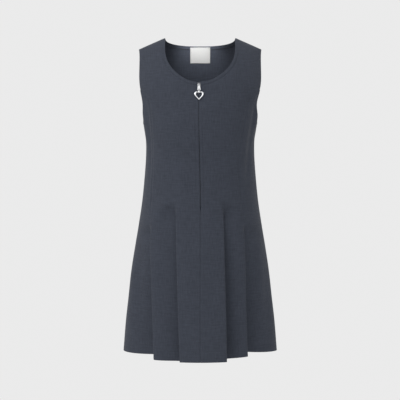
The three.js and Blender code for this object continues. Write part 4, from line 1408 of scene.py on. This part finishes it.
@dataclass(frozen=True)
class ZipSizes:
    """The zip's tape and coil."""

    tape_from: float = 0.5
    tape_to: float = 13.5
    tape_behind: float = 1.62
    tape_thickness: float = 0.8
    tape_top: float = 99.0
    tape_end: float = 364.0
    tooth_pitch: float = 1.4
    tooth_across: float = 1.35
    tooth_tall: float = 0.52
    tooth_deep: float = 0.62
    tooth_offset: float = 0.45
    teeth_behind: float = 0.75
    teeth_top: float = 104.0
    teeth_end: float = 349.0


class Zip:
    """The closed zip: two tapes and the coil between them."""

    def __init__(self, garment: Garment) -> None:
        """Keep the garment that the zip is sewn in."""
        self.garment = garment
        self.sizes = ZipSizes()

    def tape(self, hand: Hand) -> None:
        """Make the tape behind one front."""
        sizes = self.sizes
        across = np.linspace(sizes.tape_from, sizes.tape_to, 9) * hand.sign
        below = np.linspace(sizes.tape_end, sizes.tape_top, 76)
        panel = Garment.strip(FRONT, across, below, sizes.tape_behind)
        tape = self.garment.sheet(f"woven_tape_{hand.name}", panel, sizes.tape_thickness, self.garment.tape)
        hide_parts(f"zip_tape_{hand.name}")

    def coil(self) -> None:
        """Make the coil's teeth, from the two tapes in turn."""
        sizes = self.sizes
        maker = MeshMaker()
        below = np.arange(sizes.teeth_top, sizes.teeth_end, sizes.tooth_pitch / 2)
        sides = np.where(np.arange(len(below)) % 2, 1.0, -1.0)
        panel = Garment.strip(FRONT, np.array([0.0]), below, sizes.teeth_behind)
        points, normals = panel.surface()
        points, normals = points[:, 0], normals[:, 0]
        down = unit(np.gradient(points, axis=0))
        side = unit(np.cross(normals, down))
        places = np.zeros((len(below), 4, 4))
        places[:, :3, 0] = side * sizes.tooth_across / 2
        places[:, :3, 1] = down * sizes.tooth_tall / 2
        places[:, :3, 2] = normals * sizes.tooth_deep
        places[:, :3, 3] = points + side * (sides * sizes.tooth_offset)[:, None]
        places[:, 3, 3] = 1
        maker.scatter(bead(), places)
        coil = maker.build("zip_coil", self.garment.coil)


@dataclass(frozen=True)
class PullerSizes:
    """The slider with its bridge, the pull tab and the heart."""

    below: float = 100.5
    slider_width: float = 6.4
    slider_tail: float = 4.4
    slider_length: float = 8.0
    slider_thickness: float = 2.3
    proud: float = 1.45
    bridge_width: float = 1.1
    bridge_wall: float = 0.8
    bridge_rise: float = 2.1
    bridge_half_length: float = 2.2
    tab_top: float = 3.6
    tab_end: float = 7.0
    tab_length: float = 14.1
    tab_thickness: float = 0.9
    tab_bar: float = 1.0
    eye_width: float = 1.8
    eye_length: float = 3.5
    slot_width: float = 4.2
    slot_length: float = 1.7
    axis_up: float = 0.7
    axis_proud: float = 0.95
    heart_width: float = 19.2
    heart_height: float = 18.4
    heart_ring: float = 3.4
    heart_thickness: float = 2.0
    heart_below: float = 2.7
    heart_middle: float = 7.6
    loop_inner: float = 1.0
    loop_wall: float = 0.8
    loop_width: float = 2.6


HEART_HALF = (
    (0, 0.087), (0.13, 0.016), (0.33, 0), (0.5, 0), (0.82, 0),
    (1, 0.12), (1, 0.272), (1, 0.516), (0.36, 0.783), (0, 1),
)


class Puller:
    """The metal parts of the zip, hung on each other."""

    def __init__(self, garment: Garment) -> None:
        """Find where the slider sits and how it leans."""
        self.garment = garment
        self.sizes = sizes = PullerSizes()
        reach = sizes.tab_length + sizes.heart_height
        panel = Garment.strip(FRONT, np.array([0.0]), np.array([sizes.below, sizes.below + reach]), 0.0)
        upper = panel.surface()[0][0, 0]
        lower = Form.point(np.zeros(1), np.array([sizes.below + reach]), FRONT)[0]
        lean = -math.atan2(upper[1] - lower[1], upper[2] - lower[2])
        self.slider_place = Matrix.Translation(upper) @ Matrix.Rotation(lean, 4, "X")
        self.tab_place = self.slider_place @ Matrix.Translation(
            (0, -sizes.proud - sizes.axis_proud, sizes.axis_up))
        self.heart_place = self.tab_place @ Matrix.Translation((0, 0, sizes.tab_bar - sizes.tab_length))

    @staticmethod
    def plate(outline: list[tuple[float, float]], holes: list[list[tuple[float, float]]],
              thickness: float, bevel: float) -> Array:
        """A flat plate with rounded rims.

        Args:
            outline: its outline, as places across and up.
            holes: the outlines of the holes in it.
            thickness: its thickness.
            bevel: the radius of its rims.

        Returns:
            A mesh of the plate, upright and seen from the front, in millimetres.
        """
        curve = bpy.data.curves.new("plate", "CURVE")
        curve.dimensions = "2D"
        curve.fill_mode = "BOTH"
        curve.extrude = thickness / 2 - bevel
        curve.bevel_depth = bevel
        curve.bevel_resolution = 2
        curve.offset = -bevel
        for path in (outline, *holes):
            spline = curve.splines.new("POLY")
            spline.points.add(len(path) - 1)
            for point, (across, up) in zip(spline.points, path):
                point.co = (across, up, 0, 1)
            spline.use_cyclic_u = True
        holder = bpy.data.objects.new("plate", curve)
        bpy.context.scene.collection.objects.link(holder)
        bpy.context.view_layer.update()
        mesh = bpy.data.meshes.new_from_object(holder.evaluated_get(bpy.context.evaluated_depsgraph_get()))
        bpy.data.objects.remove(holder)
        bpy.data.curves.remove(curve)
        mesh.transform(Matrix.Rotation(math.pi / 2, 4, "X"))
        return mesh

    @staticmethod
    def rounded(path: list[tuple[float, float]], radius: float) -> list[tuple[float, float]]:
        """An outline with each corner cut by a short curve."""
        made = []
        for before, corner, after in zip([path[-1], *path[:-1]], path, [*path[1:], path[0]]):
            corner = Vector(corner)
            for share in (0.0, 0.25, 0.5, 0.75, 1.0):
                start = corner + (Vector(before) - corner).normalized() * radius
                end = corner + (Vector(after) - corner).normalized() * radius
                bent = start.lerp(corner, share).lerp(corner.lerp(end, share), share)
                made.append((bent.x, bent.y))
        return made

    def place(self, maker: MeshMaker, mesh: bpy.types.Mesh) -> None:
        """Add a mesh in millimetres to the maker."""
        mesh.transform(Matrix.Scale(MM, 4))
        maker.bm.from_mesh(mesh)
        bpy.data.meshes.remove(mesh)

    def finish(self, maker: MeshMaker, place: Matrix, name: str, node: str, body: str) -> None:
        """Build a metal piece from parts made round its own origin."""
        at = Matrix.Translation(place.translation * MM) @ place.to_3x3().to_4x4()
        bmesh.ops.transform(maker.bm, matrix=at, verts=maker.bm.verts)
        bmesh.ops.remove_doubles(maker.bm, verts=maker.bm.verts, dist=1e-6)
        bmesh.ops.recalc_face_normals(maker.bm, faces=maker.bm.faces)
        # The slider takes the darkened nickel, far darker than the tab and the heart.
        metal = self.garment.darkened_metal if node == "zip_slider" else self.garment.metal
        made = maker.build(name, metal, body)
        made.data.set_sharp_from_angle(angle=math.radians(38))
        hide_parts(node)

    @staticmethod
    def bar(path: Array, side: Vector, width: float, wall: float, around: int = 12) -> Array:
        """Rings of a soft-edged strip along a path in the y-z plane."""
        along = unit(np.gradient(path, axis=0))
        across = np.array(side, float)
        outwards = unit(np.cross(along, across))
        angles = np.linspace(0, 2 * math.pi, around, endpoint=False)
        cos, sin = np.cos(angles), np.sin(angles)
        wide = np.sign(cos) * np.abs(cos) ** 0.5 * width / 2
        high = np.sign(sin) * np.abs(sin) ** 0.5 * wall / 2
        return path[:, None] + across * wide[None, :, None] + outwards[:, None] * high[None, :, None]

    def slider(self) -> None:
        """Make the slider and its bridge."""
        sizes = self.sizes
        top, half, tail = sizes.slider_length / 2, sizes.slider_width / 2, sizes.slider_tail / 2
        outline = self.rounded(
            [(-tail, -top), (tail, -top), (half, 0), (half, top), (-half, top), (-half, 0)], 1.0)
        maker = MeshMaker()
        body = self.plate(outline, [], sizes.slider_thickness, 0.4)
        body.transform(Matrix.Translation((0, sizes.slider_thickness / 2 - sizes.proud, 0)))
        self.place(maker, body)
        angles = np.linspace(-0.12, math.pi + 0.12, 25)
        reach = sizes.bridge_half_length + sizes.bridge_wall / 2
        rise = sizes.bridge_rise + sizes.bridge_wall / 2
        arch = np.stack([
            0 * angles, -sizes.proud - rise * np.sin(angles), reach * np.cos(angles)], axis=1)
        maker.loft(self.bar(arch, Vector((1, 0, 0)), sizes.bridge_width, sizes.bridge_wall))
        self.finish(maker, self.slider_place, "slider_body", "zip_slider", DRESS)

    def tab(self) -> None:
        """Make the tapered pull tab with its eye and slot."""
        sizes = self.sizes
        top = sizes.tab_bar / 2
        low = top - sizes.tab_length
        narrow, wide = sizes.tab_top / 2, sizes.tab_end / 2

        def window(half: float, base: float, height: float) -> list[tuple[float, float]]:
            return self.rounded([(-half, base), (half, base), (half, base + height), (-half, base + height)], 0.4)

        outline = self.rounded([(-wide, low), (wide, low), (narrow, top), (-narrow, top)], 1.1)
        holes = [
            window(sizes.eye_width / 2, -top - sizes.eye_length, sizes.eye_length),
            window(sizes.slot_width / 2, low + sizes.tab_bar, sizes.slot_length),
        ]
        maker = MeshMaker()
        self.place(maker, self.plate(outline, holes, sizes.tab_thickness, 0.22))
        self.finish(maker, self.tab_place, "tapered_tab", "pull_tab", "pull_tab")

    def heart_outline(self, scale: float) -> Array:
        """The heart's outline at a size, as places across and up, twelve to a curve."""
        sizes = self.sizes
        rows = [(-across, fallen) for across, fallen in HEART_HALF]
        rows += [(across, fallen) for across, fallen in HEART_HALF[-2::-1]]
        points = np.array([
            (across * scale * sizes.heart_width / 2,
             (sizes.heart_middle - fallen * sizes.heart_height) * scale
             - sizes.heart_middle - sizes.heart_below)
            for across, fallen in rows
        ])
        t = np.linspace(0, 1, 12, endpoint=False)[:, None]
        curves = []
        for start in range(0, len(points) - 1, 3):
            a, b, c, d = points[start:start + 4]
            curves.append(a * (1 - t)**3 + 3 * b * t * (1 - t)**2 + 3 * c * t**2 * (1 - t) + d * t**3)
        return np.concatenate(curves)

    def heart(self) -> None:
        """Make the heart-shaped ring with its neck and loop."""
        sizes = self.sizes
        outer = self.heart_outline(1.0)
        inner = self.heart_outline(1 - 2 * sizes.heart_ring / sizes.heart_width)
        angles = np.linspace(0, 2 * math.pi, 20, endpoint=False)
        middle, reach = (outer + inner) / 2, (outer - inner) / 2
        flat = middle[:, None] + reach[:, None] * np.cos(angles)[None, :, None]
        depth = np.broadcast_to(np.sin(angles) * sizes.heart_thickness / 2, flat.shape[:2])
        maker = MeshMaker()
        maker.loft(np.stack([flat[..., 0], depth, flat[..., 1]], axis=-1), closed=True)
        turn = np.linspace(0, 2 * math.pi, 32, endpoint=False)
        radius = sizes.loop_inner + sizes.loop_wall / 2
        ring = np.stack([0 * turn, radius * np.cos(turn), radius * np.sin(turn)], axis=1)
        closed_ring = self.bar(np.vstack([ring[-1:], ring, ring[:1]]), Vector((1, 0, 0)),
                               sizes.loop_width, sizes.loop_wall)[1:-1]
        maker.loft(closed_ring, closed=True)
        foot = -sizes.heart_below - HEART_HALF[0][1] * sizes.heart_height - 1.1
        neck = np.stack([np.zeros(6), np.zeros(6), np.linspace(-radius, foot, 6)], axis=1)
        maker.loft(self.bar(neck, Vector((1, 0, 0)), sizes.loop_width, 1.5))
        self.finish(maker, self.heart_place, "heart_ring", "heart_charm", "heart_charm")


class Label:
    """The bare woven label inside the back neck."""

    width = 43.0
    top = 16.8
    height = 32.0
    behind = 1.5
    thickness = 0.55
    lift = 1.2

    @classmethod
    def make(cls, garment: Garment) -> None:
        """Make the label and its edge stitches."""
        across = np.linspace(-cls.width / 2, cls.width / 2, 29)
        below = np.linspace(cls.top + cls.height, cls.top, 22)
        panel = Garment.strip(BACK, across, below, cls.behind)
        fallen = (panel.below - cls.top) / cls.height
        wave = 0.25 * np.sin(panel.along * panel.hand / 6.0) * fallen
        panel.sink = panel.sink + cls.lift * ease(fallen) * (0.75 + wave)
        label = garment.sheet("satin_label", panel, cls.thickness, garment.satin)
        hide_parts("neck_label")
        maker = MeshMaker()
        inside = Panel(**{**panel.__dict__, "sink": panel.sink + CUT.cloth / 2 + cls.thickness / 2})
        for edge in (Edge.TOP, Edge.FIRST, Edge.LAST):
            points, normals = inside.line_at(edge, 1.8)
            Stitching().add(maker, points, normals)
        stitches = maker.build("label_stitches", garment.thread)


@dataclass(frozen=True)
class Lamp:
    """A soft lamp: square, or a narrow spot if it has a cone."""

    name: str
    place: tuple[float, float, float]
    size: float
    power: float
    looks_at: tuple[float, float, float] = (0.0, 0.0, -0.333)
    cone: float = 0.0
    cone_softness: float = 0.5

    def hang(self) -> None:
        """Add the lamp."""
        light = bpy.data.lights.new(self.name, "SPOT" if self.cone else "AREA")
        light.energy = self.power
        if self.cone:
            light.spot_size = math.radians(self.cone)
            light.spot_blend = self.cone_softness
            light.shadow_soft_size = self.size
        else:
            light.size = self.size
        lamp = bpy.data.objects.new(self.name, light)
        lamp.location = self.place
        way = Vector(self.looks_at) - Vector(self.place)
        lamp.rotation_euler = way.to_track_quat("-Z", "Y").to_euler()
        bpy.context.scene.collection.objects.link(lamp)


class Studio:
    """The camera, the plain bright room and the lamps."""

    middle = Vector((0.0, 0.0, -0.333))
    wall_shade = 0.828
    room_shade = 0.44
    mirrored_shade = 0.72
    lamps = (
        Lamp("key", (-2.2, -1.9, 1.35), 2.4, 38.0),
        Lamp("fill", (1.9, -1.8, 0.2), 1.8, 3.0),
        Lamp("neck", (-0.01, -0.055, -0.012), 0.012, 0.54, (0.0, 0.085, -0.012), 72.0, 1.0),
    )

    @classmethod
    def camera(cls) -> None:
        """Set the camera as the photograph was taken."""
        lens = bpy.data.cameras.new("camera")
        lens.lens = 105.1
        lens.sensor_width = 36.0
        lens.shift_x = -0.0005
        camera = bpy.data.objects.new("camera", lens)
        camera.location = (0.0, -2.5, -0.153)
        camera.rotation_euler = (cls.middle - camera.location).to_track_quat("-Z", "Y").to_euler()
        bpy.context.scene.collection.objects.link(camera)
        bpy.context.scene.camera = camera

    @classmethod
    def light(cls) -> None:
        """Light the dress softly from the upper left, in a plain bright room."""
        scene = bpy.context.scene
        scene.view_settings.view_transform = "Standard"
        world = bpy.data.worlds.new("bright_room")
        scene.world = world
        world.use_nodes = True
        shader = Shader(world.node_tree)
        room = shader.add("Background", strength=cls.room_shade)
        wall = shader.add("Background", strength=cls.wall_shade)
        mirrored = shader.add("Background")
        for background in (room, wall, mirrored):
            background.inputs["Color"].default_value = (1.0, 1.0, 1.0, 1.0)
        way = shader.add("SeparateXYZ")
        shader.link(shader.add("TexCoord").outputs["Generated"], way.inputs[0])
        upwards = shader.math("ADD", shader.math("MULTIPLY", way.outputs[2], 1.1), cls.mirrored_shade)
        upwards = shader.math("MAXIMUM", shader.math("MINIMUM", upwards, 1.1), 0.06)
        shader.link(upwards, mirrored.inputs["Strength"])
        seen = shader.add("LightPath")
        shown = room
        for ray, background in (("Is Glossy Ray", mirrored), ("Is Camera Ray", wall)):
            either = shader.add("MixShader")
            shader.link(seen.outputs[ray], either.inputs[0])
            shader.link(shown.outputs[0], either.inputs[1])
            shader.link(background.outputs[0], either.inputs[2])
            shown = either
        output = shader.add("OutputWorld")
        shader.link(shown.outputs[0], output.inputs[0])
        for lamp in cls.lamps:
            lamp.hang()


def main() -> None:
    """Build the dress on its frame."""
    logging.basicConfig(level=logging.INFO, format="%(message)s")
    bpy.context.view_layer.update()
    Studio.camera()
    garment = Garment()
    garment.sew()
    trim = Zip(garment)
    for hand in HANDS:
        trim.tape(hand)
    trim.coil()
    puller = Puller(garment)
    puller.slider()
    puller.tab()
    puller.heart()
    Label.make(garment)
    Studio.light()


if __name__ == "__main__":
    main()
